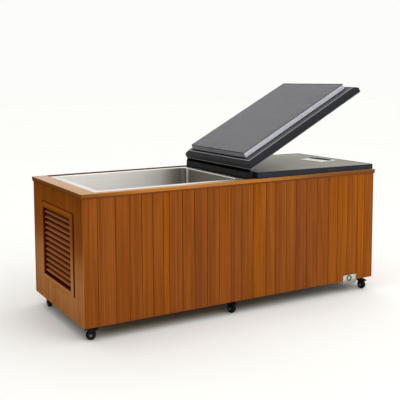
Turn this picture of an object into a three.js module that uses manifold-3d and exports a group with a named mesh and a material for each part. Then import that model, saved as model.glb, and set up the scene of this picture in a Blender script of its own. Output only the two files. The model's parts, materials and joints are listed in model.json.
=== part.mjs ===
// Cold plunge tub: a planked timber cabinet on casters with a stainless basin in
// its left half, a machinery bay in its right half, and a folding padded cover.
// Millimetres, +Z up. Origin on the floor under the middle of the tub,
// +X along the tub towards the machinery bay, +Y towards its back.
import * as THREE from 'three';
import { mergeVertices } from 'three/addons/utils/BufferGeometryUtils.js';
import Module from 'manifold-3d';

// ---------------------------------------------------------------- dimensions
const LEN = 1930;            // cabinet length over the planks
const WID = 786;             // cabinet depth over the planks
const CLEAR = 76;            // floor to the underside of the cabinet
const BODY_H = 686;          // underside of the cabinet to the top of the rim
const PLANK_T = 18;          // wall thickness
const RIM_T = 18;            // cap rail thickness
const RIM_OVER = 6;          // cap rail overhang past the planks
const RAIL_FRONT = 41;       // cap rail widths
const RAIL_BACK = 60;
const RAIL_END = 87;
const DECK_T = 15;           // plywood deck under the rails
const BASE_T = 18;           // base board
const GAP = 0.3;             // clearance between touching pieces

const SHEET = 3;             // basin sheet with its hem
const BASIN_X = [-844, 0];   // clear opening of the basin
const BASIN_Y = [-310, 320];
const BASIN_R = 24;          // upright corner radius
const BASIN_FLOOR = 128;     // floor of the basin above the ground
const FLANGE_X = [-883.4, 33];
const FLANGE_Y = [-357.4, 338.4];

const LID_X = [-882, 34];    // closed lid half, free end to hinge end
const COVER_Y = [-378, 378];
const COVER_R = 10;          // plan corner radius of the cover
const LID_T = [44, 44];      // lid thickness at its free end and at the hinge
const PLUG_X = [-838, -6];   // insulating plug under the lid
const PLUG_Y = [-304, 314];
const PLUG_R = 8;
const PLUG_T = 33;
const SPINE_X = [40, 85];    // padded strip between the two cover halves
const SPINE_T = 36;
const FLAT_X = [91, 969];    // cover half over the machinery bay
const FLAT_T = [36, 30];
const HINGE_X = 44;          // lid fold line, along Y
const HINGE_UP = 47;         // fold line above the rim
const LID_OPEN = 152;        // degrees the lid stands open

const LOUVRE_Y = [-265, 246];    // louvre frame
const LOUVRE_Z = [207, 641];
const OPEN_Y = [-224, 216.5];    // its clear opening
const OPEN_Z = [226.5, 611.5];
const LINER = 5;                 // lining of the opening
const SLAT_Z = 255;              // lowest slat
const SLAT_PITCH = 30.67;
const SLATS = 12;

const NOTCH_X = [731, 842];  // drain notch in the front planks
const NOTCH_H = 41;
const DRAIN = [781, 91];     // drain outlet centre, X and Z
const PLATE_IN = 5;          // drain plate behind the face of the planks

const WHEEL_R = 26;
const WHEEL_W = 22;
const TRAIL = 20;            // wheel centre behind the swivel axis
const CASTERS = [            // name, X, Y, heading of the wheel in degrees, brake pedal
  ['fl', -894, -353, 158, true],
  ['fc', -64, -329, -78, true],
  ['fr', 905, -341, -78, true],
  ['bl', -916, 315, 268, false],
  ['bc', -64, 325, -70, false],
  ['br', 905, 325, -75, false],
];

const ZB = CLEAR;
const ZR = CLEAR + BODY_H;
const XE = LEN / 2;
const YE = WID / 2;

// ------------------------------------------------------------------- helpers
const wasm = await Module();
wasm.setup();

const volume = (p, idx) => {
  let v = 0;
  for (let i = 0; i < idx.length; i += 3) {
    const [a, b, c] = [idx[i] * 3, idx[i + 1] * 3, idx[i + 2] * 3];
    v += p[a] * (p[b + 1] * p[c + 2] - p[b + 2] * p[c + 1])
       - p[a + 1] * (p[b] * p[c + 2] - p[b + 2] * p[c])
       + p[a + 2] * (p[b] * p[c + 1] - p[b + 1] * p[c]);
  }
  return v / 6;
};

// Shared vertices, no zero-area corners, faces pointing out.
const tidy = (geometry) => {
  let g = geometry.clone();
  g.deleteAttribute('normal');
  g.deleteAttribute('uv');
  g = mergeVertices(g, 1e-3);
  const p = g.attributes.position.array;
  const src = g.index.array;
  const idx = [];
  for (let i = 0; i < src.length; i += 3) {
    const [a, b, c] = [src[i], src[i + 1], src[i + 2]];
    if (a !== b && b !== c && c !== a) idx.push(a, b, c);
  }
  if (volume(p, idx) < 0) for (let i = 0; i < idx.length; i += 3) [idx[i], idx[i + 1]] = [idx[i + 1], idx[i]];
  const out = new THREE.BufferGeometry();
  out.setAttribute('position', new THREE.BufferAttribute(new Float32Array(p), 3));
  out.setIndex(idx);
  return out;
};

const solid = (geometry) => {
  const g = tidy(geometry);
  return new wasm.Manifold(new wasm.Mesh({
    numProp: 3,
    vertProperties: new Float32Array(g.attributes.position.array),
    triVerts: new Uint32Array(g.index.array),
  }));
};

const skin = (manifold) => {
  const m = manifold.getMesh();
  const g = new THREE.BufferGeometry();
  g.setAttribute('position', new THREE.BufferAttribute(new Float32Array(m.vertProperties), 3));
  g.setIndex(Array.from(m.triVerts));
  return g;
};

const join = (...list) => skin(list.map(solid).reduce((a, b) => a.add(b)));
const cut = (base, ...tools) => skin(tools.map(solid).reduce((a, b) => a.subtract(b), solid(base)));

const box = (x0, x1, y0, y1, z0, z1) =>
  new THREE.BoxGeometry(x1 - x0, y1 - y0, z1 - z0).translate((x0 + x1) / 2, (y0 + y1) / 2, (z0 + z1) / 2);

const rounded = (x0, x1, y0, y1, r) => {
  const s = new THREE.Shape();
  s.moveTo(x0 + r, y0);
  s.lineTo(x1 - r, y0);
  s.absarc(x1 - r, y0 + r, r, -Math.PI / 2, 0, false);
  s.lineTo(x1, y1 - r);
  s.absarc(x1 - r, y1 - r, r, 0, Math.PI / 2, false);
  s.lineTo(x0 + r, y1);
  s.absarc(x0 + r, y1 - r, r, Math.PI / 2, Math.PI, false);
  s.lineTo(x0, y0 + r);
  s.absarc(x0 + r, y0 + r, r, Math.PI, Math.PI * 1.5, false);
  return s;
};

const outline = (pts) => new THREE.Shape(pts.map(([a, b]) => new THREE.Vector2(a, b)));

const slab = (shape, z0, z1, curveSegments = 5) =>
  new THREE.ExtrudeGeometry(shape, { depth: z1 - z0, bevelEnabled: false, curveSegments }).translate(0, 0, z0);

// A slab whose top slopes along X between two heights.
const wedge = (shape, z0, xa, za, xb, zb, curveSegments = 5) => {
  const g = slab(shape, 0, 1, curveSegments);
  const p = g.attributes.position;
  for (let i = 0; i < p.count; i++) {
    const top = za + ((p.getX(i) - xa) / (xb - xa)) * (zb - za);
    p.setZ(i, p.getZ(i) > 0.5 ? top : z0);
  }
  return g;
};

// Outline in X and Z, extruded along Y between two planes.
const alongY = (pts, y0, y1) =>
  new THREE.ExtrudeGeometry(outline(pts), { depth: y1 - y0, bevelEnabled: false })
    .rotateX(Math.PI / 2).translate(0, y1, 0);

// Turned pieces: radius and height pairs, about Z, then turned to X or Y.
const turned = (pts, seg) =>
  new THREE.LatheGeometry(pts.map(([r, h]) => new THREE.Vector2(r, h)), seg).rotateX(Math.PI / 2);
const turnedX = (pts, seg) => turned(pts, seg).rotateY(Math.PI / 2);
const turnedY = (pts, seg) => turned(pts, seg).rotateX(-Math.PI / 2);
const rod = (r, h0, h1, seg) => turned([[0, h0], [r, h0], [r, h1], [0, h1]], seg);
const rodX = (r, h0, h1, seg) => rod(r, h0, h1, seg).rotateY(Math.PI / 2);
const rodY = (r, h0, h1, seg) => rod(r, h0, h1, seg).rotateX(-Math.PI / 2);

// A pipe of eight sides along a smooth path.
const pipe = (r, pts, steps) => {
  const ring = new THREE.Shape();
  for (let i = 0; i < 8; i++) {
    const a = (i / 8) * Math.PI * 2;
    if (i === 0) ring.moveTo(r * Math.cos(a), r * Math.sin(a));
    else ring.lineTo(r * Math.cos(a), r * Math.sin(a));
  }
  const path = new THREE.CatmullRomCurve3(pts.map((p) => new THREE.Vector3(...p)), false, 'centripetal');
  return new THREE.ExtrudeGeometry(ring, { steps, extrudePath: path, bevelEnabled: false });
};

const tub = new THREE.Group();
const material = (color, roughness, metalness) => new THREE.MeshStandardMaterial({ color, roughness, metalness });
const place = (name, geometry, mat, parent = tub) => {
  const g = tidy(geometry);
  g.computeVertexNormals();
  const mesh = new THREE.Mesh(g, mat);
  mesh.name = name;
  parent.add(mesh);
  return mesh;
};

const plank = () => material(0x96591f, 0.55, 0);
const rail = () => material(0xb97a3c, 0.5, 0);
const ply = () => material(0xb99a6a, 0.8, 0);
const steel = () => material(0xc9c7c2, 0.28, 1);
const vinyl = () => material(0x4a4b4f, 0.6, 0);
const black = () => material(0x141416, 0.5, 0.2);
const grey = () => material(0x8a8d90, 0.5, 0.3);
const white = () => material(0xdedcd6, 0.6, 0);
const copper = () => material(0xb0683c, 0.35, 1);

// ------------------------------------------------------------------- cabinet
const wallTop = ZR - RIM_T - GAP;
const inX = XE - PLANK_T - GAP;
const inY = YE - PLANK_T - GAP;
const hole = { y0: OPEN_Y[0] - LINER, y1: OPEN_Y[1] + LINER, z0: OPEN_Z[0] - LINER, z1: OPEN_Z[1] + LINER };

place('front_panel', cut(
  box(-XE, XE, -YE, -YE + PLANK_T, ZB, wallTop),
  box(NOTCH_X[0], NOTCH_X[1], -YE - 1, -YE + PLANK_T + 1, ZB - 1, ZB + NOTCH_H),
), plank());
place('back_panel', box(-XE, XE, YE - PLANK_T, YE, ZB, wallTop), plank());
place('left_panel', cut(
  box(-XE, -XE + PLANK_T, -inY, inY, ZB, wallTop),
  box(-XE - 1, -XE + PLANK_T + 1, hole.y0 - GAP, hole.y1 + GAP, hole.z0 - GAP, hole.z1 + GAP),
), plank());
place('right_panel', box(XE - PLANK_T, XE, -inY, inY, ZB, wallTop), plank());
place('base_board', cut(
  box(-inX, inX, -inY, inY, ZB, ZB + BASE_T),
  box(DRAIN[0] - 17, DRAIN[0] + 17, -inY - 1, -inY + 58, ZB - 1, ZB + BASE_T + 1),
), ply());

const deckTop = wallTop;
const deckLow = deckTop - DECK_T;
place('deck_board', cut(
  box(-inX, inX, -inY, inY, deckLow, deckTop),
  slab(rounded(BASIN_X[0] - SHEET - 2, BASIN_X[1] + SHEET + 2, BASIN_Y[0] - SHEET - 2, BASIN_Y[1] + SHEET + 2, BASIN_R + SHEET + 2), deckLow - 1, deckTop + 1),
), ply());

const rx = XE + RIM_OVER;
const ry = YE + RIM_OVER;
place('rim_front', box(-rx, rx, -ry, -ry + RAIL_FRONT, ZR - RIM_T, ZR), rail());
place('rim_left', box(-rx, -rx + RAIL_END, -ry + RAIL_FRONT + GAP, ry, ZR - RIM_T, ZR), rail());
place('rim_back', box(-rx + RAIL_END + GAP, rx, ry - RAIL_BACK, ry, ZR - RIM_T, ZR), rail());
place('rim_right', box(rx - RAIL_END, rx, -ry + RAIL_FRONT + GAP, ry - RAIL_BACK - GAP, ZR - RIM_T, ZR), rail());

// -------------------------------------------------------------------- louvre
const ly = LOUVRE_Y;
const lz = LOUVRE_Z;
place('louvre_frame', cut(
  join(
    box(-XE - RIM_OVER, -XE - GAP, ly[0], ly[1], lz[0], lz[1]),
    box(-XE - 1, -XE + PLANK_T - 1, hole.y0, hole.y1, hole.z0, hole.z1),
  ),
  box(-XE - 20, -XE + 40, OPEN_Y[0], OPEN_Y[1], OPEN_Z[0], OPEN_Z[1]),
), plank());

const slatPts = (zc) => [[-959, zc - 12], [-955.5, zc - 15.5], [-935.5, zc + 4], [-939, zc + 7.5]];
const slatZ = (i) => SLAT_Z + i * SLAT_PITCH;
const slatList = [];
for (let i = 0; i < SLATS; i++) slatList.push(alongY(slatPts(slatZ(i)), OPEN_Y[0] + 0.4, OPEN_Y[1] - 0.4));
for (const y of [-140, 140]) slatList.push(box(-940.5, -936.6, y - 6, y + 6, slatZ(0), slatZ(SLATS - 1) + 4));
place('louvre_slats', join(...slatList), plank());

// --------------------------------------------------------------------- basin
const flangeTop = ZR - 0.5;
const bo = (o) => rounded(BASIN_X[0] - o, BASIN_X[1] + o, BASIN_Y[0] - o, BASIN_Y[1] + o, BASIN_R + o);
const fo = (o) => rounded(FLANGE_X[0] - o, FLANGE_X[1] + o, FLANGE_Y[0] - o, FLANGE_Y[1] + o, 4 + o);
const outY = -200;   // low outlet, through the right-hand wall
const outZ = 178;
const retY = 190;    // return jet
const retZ = 560;
place('basin', cut(
  join(slab(fo(0), ZR - RIM_T, flangeTop, 3), slab(bo(SHEET), BASIN_FLOOR - SHEET, flangeTop - 1)),
  cut(slab(fo(-2.5), ZR - RIM_T - 1, flangeTop - 2.5, 3), slab(bo(SHEET), ZR - RIM_T - 2, flangeTop)),
  slab(bo(0), BASIN_FLOOR, ZR + 5),
  rodX(21, -12, 40, 16).translate(0, outY, outZ),
  rodX(21, -12, 40, 16).translate(0, retY, retZ),
), steel());
place('floor_insulation', box(BASIN_X[0] + 6, BASIN_X[1] - 6, BASIN_Y[0] + 6, BASIN_Y[1] - 6, ZB + BASE_T + GAP, BASIN_FLOOR - SHEET - GAP), white());

const fitX = BASIN_X[1] - 8;
const fitting = [[0, 1], [26, 1], [29, 3], [38, 3], [38, 7.6], [20.5, 7.6], [20.5, 62 - fitX], [0, 62 - fitX]];
place('basin_drain', turnedX(fitting, 18).translate(fitX, outY, outZ), steel());
place('return_jet', turnedX(fitting, 18).translate(fitX, retY, retZ), black());

place('partition', cut(
  box(39, 57, -inY, inY, ZB + BASE_T + GAP, deckLow - GAP),
  rodX(23, 30, 70, 16).translate(0, outY, outZ),
  rodX(23, 30, 70, 16).translate(0, retY, retZ),
), ply());

// ------------------------------------------------------------- cooling plant
const floorZ = ZB + BASE_T + GAP;
const fanZ = 415;
place('condenser', join(
  box(-934, -902, -215, 215, 225, 605),
  box(-934, -902, -226, -214, floorZ, 612),
  box(-934, -902, 214, 226, floorZ, 612),
), grey());
place('fan_shroud', join(
  cut(box(-899, -895.5, -214, 214, 225, 605), rodX(150, -905, -890, 28).translate(0, 0, fanZ)),
  cut(rodX(153, -899, -872, 28).translate(0, 0, fanZ), rodX(150, -910, -860, 28).translate(0, 0, fanZ)),
  box(-876, -872, -152, 152, fanZ - 7, fanZ + 7),
  box(-876, -872, -7, 7, fanZ - 152, fanZ + 152),
  rodX(32, -876, -872, 16).translate(0, 0, fanZ),
  box(-899, -895.5, -226, -213, floorZ, 605),
  box(-899, -895.5, 213, 226, floorZ, 605),
), black());
const fan = new THREE.Group();
fan.position.set(-886.5, 0, fanZ);
tub.add(fan);
const blades = [rodX(40, -8, 8, 16)];
for (let i = 0; i < 5; i++) {
  blades.push(new THREE.BoxGeometry(3, 46, 106).rotateZ(0.27).translate(0, 0, 86).rotateX((i / 5) * Math.PI * 2));
}
place('fan_rotor', join(...blades), black(), fan);

place('compressor', turned([[0, floorZ], [82, floorZ], [82, floorZ + 6], [70, floorZ + 10], [76, floorZ + 30], [78, floorZ + 120],
  [74, floorZ + 165], [52, floorZ + 200], [0, floorZ + 208]], 18).translate(230, 90, 0), black());
place('evaporator', box(200, 290, -70, -30, floorZ, 330), grey());
place('filter_canister', turned([[0, floorZ], [66, floorZ], [70, floorZ + 8], [70, floorZ + 250], [78, floorZ + 255],
  [78, floorZ + 290], [50, floorZ + 300], [0, floorZ + 300]], 18).translate(430, -200, 0), white());
place('pump', join(
  rodX(62, 520, 585, 16).translate(0, -200, 190),
  rodX(50, 580, 720, 16).translate(0, -200, 190),
  box(530, 700, -240, -160, floorZ, 150),
  rod(16, 200, 290, 10).translate(552, -200, 0),
  rodX(15, 500.6, 525, 10).translate(0, -200, 190),
), black());
place('control_box', box(862, XE - PLANK_T - GAP, -110, 170, 330, 600), white());
place('suction_pipe', pipe(17, [[62.5, outY, outZ], [110, outY, outZ], [200, -200, 180], [300, -200, 190], [359.4, -200, 192]], 14), white());
place('return_pipe', pipe(17, [[552, -200, 290.5], [552, -200, 340], [540, -120, 420], [400, 60, 520], [220, 170, 556], [120, retY, retZ], [62.5, retY, retZ]], 18), white());
place('drain_pipe', pipe(10, [[210, -218, 180], [212, -250, 176], [230, -290, 150], [280, -310, 125], [420, -318, 116], [640, -318, 114], [740, -322, 112],
  [774, -329, 109], [780, -338, 103], [781, -350, 95.5], [781, -360, 91.5], [781, -368.3, 91]], 24), white());
place('refrigerant_line', pipe(6, [[-918, -228, 300], [-918, -270, 300], [-918, -310, 285], [-910, -346, 240], [-870, -352, 150], [-700, -352, 112], [-300, -352, 110], [-20, -352, 110], [30, -350, 118]], 20), copper());

// --------------------------------------------------------------------- drain
const plateY = -YE + PLATE_IN;
place('drain_plate', cut(
  box(NOTCH_X[0] + 0.6, NOTCH_X[1] - 0.6, plateY, plateY + 3, 54, ZB + NOTCH_H - 0.4),
  rodY(16, plateY - 5, plateY + 10, 20).translate(DRAIN[0], 0, DRAIN[1]),
), steel());
place('drain_outlet', turnedY([[13.2, -YE], [17.5, -YE], [18.5, -YE + 1], [18.5, plateY - GAP], [15.5, plateY - GAP], [15.5, plateY + 19], [13.2, plateY + 19], [13.2, -YE]], 20)
  .translate(DRAIN[0], 0, DRAIN[1]), steel());
place('drain_cock', cut(
  join(rodY(6.5, plateY + 2, plateY + 15, 14), rodY(12.8, plateY + 14, plateY + 18, 18)).translate(DRAIN[0], 0, DRAIN[1]),
  box(DRAIN[0] - 8, DRAIN[0] + 8, plateY + 1, plateY + 5, DRAIN[1] - 1.5, DRAIN[1] + 1.5),
), black());

place('cord_gland', turnedY([[4, YE + 0.3], [15, YE + 0.3], [15, YE + 3], [11, YE + 3.4], [10, YE + 5.8], [4, YE + 5.8], [4, YE + 0.3]], 12)
  .translate(820, 0, 150), black());

// --------------------------------------------------------------------- cover
const lid = new THREE.Group();
lid.position.set(HINGE_X, 0, ZR + HINGE_UP);
lid.rotation.y = THREE.MathUtils.degToRad(LID_OPEN);
tub.add(lid);
const fromHinge = (g) => g.translate(-HINGE_X, 0, -(ZR + HINGE_UP));
place('lid_pad', fromHinge(wedge(rounded(LID_X[0], LID_X[1], COVER_Y[0], COVER_Y[1], COVER_R),
  ZR + 1, LID_X[0], ZR + 1 + LID_T[0], LID_X[1], ZR + 1 + LID_T[1], 4)), vinyl(), lid);
place('lid_plug', fromHinge(slab(rounded(PLUG_X[0], PLUG_X[1], PLUG_Y[0], PLUG_Y[1], PLUG_R), ZR + 0.7 - PLUG_T, ZR + 0.7, 4)), vinyl(), lid);

place('hinge_spine', slab(rounded(SPINE_X[0], SPINE_X[1], COVER_Y[0] + 5, COVER_Y[1] - 5, 8), ZR + 0.5, ZR + SPINE_T, 3), vinyl());
place('hinge_web', alongY([[45.5, ZR + SPINE_T + 0.3], [48, ZR + SPINE_T + 0.3], [47.2, ZR + 46], [45.2, ZR + 46]], COVER_Y[0] + 12, COVER_Y[1] - 12), vinyl());
place('flat_pad', wedge(rounded(FLAT_X[0], FLAT_X[1], COVER_Y[0], COVER_Y[1], COVER_R),
  ZR + 0.5, FLAT_X[0], ZR + 0.5 + FLAT_T[0], FLAT_X[1], ZR + 0.5 + FLAT_T[1], 4), vinyl());

// Grab strap on the flat half: a low arch along Y, sewn down at both ends.
const strapX = 826;
const strapY = -35;
const strapZ = ZR + 0.5 + FLAT_T[0] + ((strapX - 14 - FLAT_X[0]) / (FLAT_X[1] - FLAT_X[0])) * (FLAT_T[1] - FLAT_T[0]) + 0.4;
const arch = [];
const under = [];
for (let i = 0; i <= 10; i++) {
  const t = i / 10;
  const y = -58 + t * 116;
  const h = 10.5 * Math.sin(Math.PI * t) ** 1.2;
  arch.push([y, h + 2.6]);
  under.push([y, Math.max(h - 0.2, 0)]);
}
const strapPts = [[-82, 0], ...under, [82, 0], [82, 2.6], ...arch.reverse(), [-82, 2.6]];
place('cover_handle', new THREE.ExtrudeGeometry(outline(strapPts), { depth: 28, bevelEnabled: false })
  .rotateX(Math.PI / 2).rotateZ(Math.PI / 2).translate(strapX - 14, strapY, strapZ), black());

// ------------------------------------------------------------------- casters
const wheelPts = [[4.3, -10.5], [9, -10.5], [20.5, -8], [22.5, -WHEEL_W / 2], [WHEEL_R, -8.5], [WHEEL_R, 8.5],
  [22.5, WHEEL_W / 2], [20.5, 8], [9, 10.5], [4.3, 10.5], [4.3, -10.5]];
const legPts = [[-15, 57], [-13, 62.5], [26, 62.5], [32, 60.5], [32, 56], [29, 40], [TRAIL + 7, 21], [TRAIL + 3, 18.5], [TRAIL - 3, 18.5], [TRAIL - 7, 22], [TRAIL - 8, 30]];
for (const [id, x, y, heading, pedal] of CASTERS) {
  const mount = new THREE.Group();
  mount.position.set(x, y, 0);
  tub.add(mount);
  place(`caster_plate_${id}`, join(box(-29, 29, -25, 25, ZB - 3.3, ZB - GAP), rod(17, 65, ZB - 2, 16)), black(), mount);
  const swivel = new THREE.Group();
  swivel.rotation.z = THREE.MathUtils.degToRad(heading);
  mount.add(swivel);
  place(`caster_fork_${id}`, join(
    rod(19, 57, 64.7, 16),
    box(-14, 23, -15.5, 15.5, 55.5, 58.6),
    alongY(legPts, -15.5, -13), alongY(legPts, 13, 15.5),
    rodY(4, -15, 15, 10).translate(TRAIL, 0, WHEEL_R),
    rodY(6.5, -17.5, -15, 10).translate(TRAIL, 0, WHEEL_R),
    rodY(6.5, 15, 17.5, 10).translate(TRAIL, 0, WHEEL_R),
  ), black(), swivel);
  place(`caster_wheel_${id}`, turnedY(wheelPts, 20).translate(TRAIL, 0, WHEEL_R), black(), swivel);
  if (pedal) {
    place(`brake_pedal_${id}`, alongY([[25, 56.5], [33, 55.5], [46, 51.5], [51, 51.5], [51.5, 54], [46, 58], [36, 62], [26, 62]], -12.4, 12.4), black(), swivel);
  }
}

export default tub;
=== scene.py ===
import json
import math
import random

import bpy
import bmesh
import numpy as np
from mathutils import Matrix, Vector, noise


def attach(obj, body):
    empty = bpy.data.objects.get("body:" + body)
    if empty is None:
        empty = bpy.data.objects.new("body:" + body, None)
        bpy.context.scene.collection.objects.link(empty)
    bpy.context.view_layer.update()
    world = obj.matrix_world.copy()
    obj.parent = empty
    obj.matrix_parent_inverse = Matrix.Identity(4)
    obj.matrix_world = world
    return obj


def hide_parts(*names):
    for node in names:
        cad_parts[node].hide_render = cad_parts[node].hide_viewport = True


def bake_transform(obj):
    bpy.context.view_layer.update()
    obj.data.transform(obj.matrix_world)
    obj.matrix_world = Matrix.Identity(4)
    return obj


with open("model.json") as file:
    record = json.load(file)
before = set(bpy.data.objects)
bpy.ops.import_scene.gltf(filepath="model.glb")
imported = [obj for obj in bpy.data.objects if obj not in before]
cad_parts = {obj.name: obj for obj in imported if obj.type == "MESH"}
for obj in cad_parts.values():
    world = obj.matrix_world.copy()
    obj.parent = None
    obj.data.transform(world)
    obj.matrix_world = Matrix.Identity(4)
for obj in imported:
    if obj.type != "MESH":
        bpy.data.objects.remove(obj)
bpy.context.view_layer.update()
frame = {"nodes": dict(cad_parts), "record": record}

MM = 0.001
dice = random.Random(11)

# ---------------------------------------------------------------- dimensions
# Millimetres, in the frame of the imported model.
XE, YE = 965.0, 393.0
ZB, ZR = 76.0, 762.0
WALL_TOP = 743.7
PLANK_T = 18.0
HINGE = Vector((44.0, 0.0, 809.0))
OPEN = math.radians(152.0)
FLAT_X = (91.0, 969.0)
COVER_Y = (-378.0, 378.0)

# =================================================================== helpers


class Shape:
    """Gathers pieces of geometry, in millimetres, into one mesh.
    Each piece carries a seed and a tone for its material."""

    def __init__(self):
        self.v, self.f, self.m, self.seed, self.tone = [], [], [], [], []

    def add(self, bm, mat=0, seed=None, tone=0.5, move=None):
        base = len(self.v)
        bm.verts.index_update()
        for v in bm.verts:
            self.v.append(tuple(move @ v.co) if move is not None else tuple(v.co))
        seed = dice.random() if seed is None else seed
        for f in bm.faces:
            self.f.append([base + v.index for v in f.verts])
            self.m.append(f.material_index if mat is None else mat)
            self.seed.append(seed)
            self.tone.append(tone)
        bm.free()
        return self

    def make(self, name, mats, body, replaces=(), slot=None, angle=38.0):
        me = bpy.data.meshes.new(name)
        me.from_pydata([(x * MM, y * MM, z * MM) for x, y, z in self.v], [], self.f)
        for mat in mats:
            me.materials.append(mat)
        me.polygons.foreach_set("material_index", self.m)
        me.polygons.foreach_set("use_smooth", [True] * len(self.f))
        for key, values in (("seed", self.seed), ("tone", self.tone)):
            a = me.attributes.new(key, "FLOAT", "FACE")
            a.data.foreach_set("value", values)
        bm = bmesh.new()
        bm.from_mesh(me)
        limit = math.radians(angle)
        for e in bm.edges:
            if len(e.link_faces) == 2:
                e.smooth = e.calc_face_angle(0.0) < limit
        bm.to_mesh(me)
        bm.free()
        me.update()
        return settle(bpy.data.objects.new(name, me), body, replaces)


def settle(ob, body, replaces=()):
    if ob.name not in bpy.context.scene.collection.objects:
        bpy.context.scene.collection.objects.link(ob)
    if body:
        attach(ob, body)
    if replaces:
        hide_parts(*replaces)
    return ob


def fresh(verts, faces):
    bm = bmesh.new()
    vs = [bm.verts.new(v) for v in verts]
    for f in faces:
        if len(set(f)) > 2:
            bm.faces.new([vs[i] for i in f])
    return bm


def mend(bm, dist=1e-4):
    bmesh.ops.remove_doubles(bm, verts=bm.verts[:], dist=dist)
    bmesh.ops.recalc_face_normals(bm, faces=bm.faces[:])
    return bm


def bevel(bm, width, seg=2, edges=None):
    bmesh.ops.bevel(bm, geom=edges or bm.edges[:], offset=width, offset_type="OFFSET", segments=seg,
                    profile=0.5, affect="EDGES", clamp_overlap=True)
    return bm


def board(x0, x1, y0, y1, z0, z1, edge=1.5, seg=2):
    bm = bmesh.new()
    bmesh.ops.create_cube(bm, size=1.0)
    for v in bm.verts:
        v.co = (x0 if v.co.x < 0 else x1, y0 if v.co.y < 0 else y1, z0 if v.co.z < 0 else z1)
    return bevel(bm, edge, seg)


def prism(pts, a0, a1, axis="Y", edge=0.8, seg=2):
    """A flat outline pushed along an axis. Y takes (x, z), X takes (y, z), Z takes (x, y)."""
    put = {"Y": lambda p, a: (p[0], a, p[1]), "X": lambda p, a: (a, p[0], p[1]), "Z": lambda p, a: (p[0], p[1], a)}[axis]
    n = len(pts)
    bm = fresh([put(p, a0) for p in pts] + [put(p, a1) for p in pts],
               [list(range(n)), list(range(2 * n - 1, n - 1, -1))] + [[i, (i + 1) % n, n + (i + 1) % n, n + i] for i in range(n)])
    mend(bm)
    if edge:
        sharp = [e for e in bm.edges if len(e.link_faces) == 2 and e.calc_face_angle(0.0) > 0.6]
        bevel(bm, edge, seg, sharp)
    return bm


def lathe(profile, n=40, closed=False, axis="Z"):
    m = len(profile)
    vs = []
    for k in range(n):
        a = 2 * math.pi * k / n
        vs += [(r * math.cos(a), r * math.sin(a), h) for r, h in profile]
    fs = []
    for k in range(n):
        k2 = (k + 1) % n
        for i in range(m if closed else m - 1):
            j = (i + 1) % m
            fs.append([k * m + i, k2 * m + i, k2 * m + j, k * m + j])
    bm = bmesh.new()
    bv = [bm.verts.new(v) for v in vs]
    bmesh_faces = []
    for f in fs:
        try:
            bmesh_faces.append(bm.faces.new([bv[i] for i in f]))
        except ValueError:
            pass
    mend(bm)
    turn = {"Z": Matrix.Identity(4), "X": Matrix.Rotation(math.pi / 2, 4, "Y"), "Y": Matrix.Rotation(-math.pi / 2, 4, "X")}[axis]
    bm.transform(turn)
    return bm


def rounded(x0, x1, y0, y1, r, n=8, straight=0):
    """Points round a rectangle with round corners, anticlockwise."""
    pts = []
    corners = ((x1 - r, y0 + r, -90), (x1 - r, y1 - r, 0), (x0 + r, y1 - r, 90), (x0 + r, y0 + r, 180))
    for cx, cy, start in corners:
        for i in range(n + 1):
            a = math.radians(start + 90 * i / n)
            pts.append((cx + r * math.cos(a), cy + r * math.sin(a)))
    if straight:
        out = []
        for i, p in enumerate(pts):
            q = pts[(i + 1) % len(pts)]
            out.append(p)
            if (i + 1) % (n + 1) == 0:
                for k in range(1, straight):
                    out.append((p[0] + (q[0] - p[0]) * k / straight, p[1] + (q[1] - p[1]) * k / straight))
        pts = out
    return pts


def loft(rings, cap=True):
    n = len(rings[0])
    vs = [p for r in rings for p in r]
    fs = []
    for k in range(len(rings) - 1):
        for i in range(n):
            j = (i + 1) % n
            fs.append([k * n + i, k * n + j, (k + 1) * n + j, (k + 1) * n + i])
    if cap:
        fs.append(list(range(n))[::-1])
        fs.append([(len(rings) - 1) * n + i for i in range(n)])
    return fresh(vs, fs)


def tube(path, radius, up, sides=10, closed=True, flatten=1.0):
    """A round cord along a path of points."""
    P = [Vector(p) for p in path]
    n = len(P)
    rings = []
    for i in range(n):
        a = P[(i - 1) % n] if closed or i else P[0]
        b = P[(i + 1) % n] if closed or i < n - 1 else P[-1]
        t = (b - a).normalized()
        u = Vector(up) if not callable(up) else up(i)
        u = (u - t * u.dot(t)).normalized()
        w = t.cross(u)
        rings.append([tuple(P[i] + radius * (math.cos(k * 2 * math.pi / sides) * w + flatten * math.sin(k * 2 * math.pi / sides) * u)) for k in range(sides)])
    if closed:
        rings.append(rings[0])
    bm = loft(rings, cap=not closed)
    return mend(bm, 1e-5)


def stitches(path, up, pitch=7.0, length=4.6, radius=0.45, closed=True):
    """Separate sewn stitches lying along a path."""
    P = [Vector(p) for p in path]
    if closed:
        P.append(P[0])
    cum = [0.0]
    for a, b in zip(P, P[1:]):
        cum.append(cum[-1] + (b - a).length)
    vs, fs = [], []
    u = Vector(up).normalized()
    k = 0
    s = pitch / 2
    while s < cum[-1] - pitch / 2:
        while cum[k + 1] < s:
            k += 1
        f = (s - cum[k]) / max(cum[k + 1] - cum[k], 1e-6)
        c = P[k].lerp(P[k + 1], f)
        t = (P[k + 1] - P[k]).normalized()
        w = t.cross(u).normalized()
        uu = w.cross(t)
        base = len(vs)
        for off, rr in ((-0.5, 0.35), (-0.32, 1.0), (0.32, 1.0), (0.5, 0.35)):
            for q in range(6):
                a = q * math.pi / 3
                vs.append(tuple(c + t * (off * length) + rr * radius * (math.cos(a) * w + math.sin(a) * uu)))
        for ring in range(3):
            for q in range(6):
                q2 = (q + 1) % 6
                fs.append([base + ring * 6 + q, base + ring * 6 + q2, base + ring * 6 + 6 + q2, base + ring * 6 + 6 + q])
        fs.append([base + q for q in range(6)][::-1])
        fs.append([base + 18 + q for q in range(6)])
        s += pitch
    bm = fresh(vs, fs)
    bmesh.ops.recalc_face_normals(bm, faces=bm.faces[:])
    return bm


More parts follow.
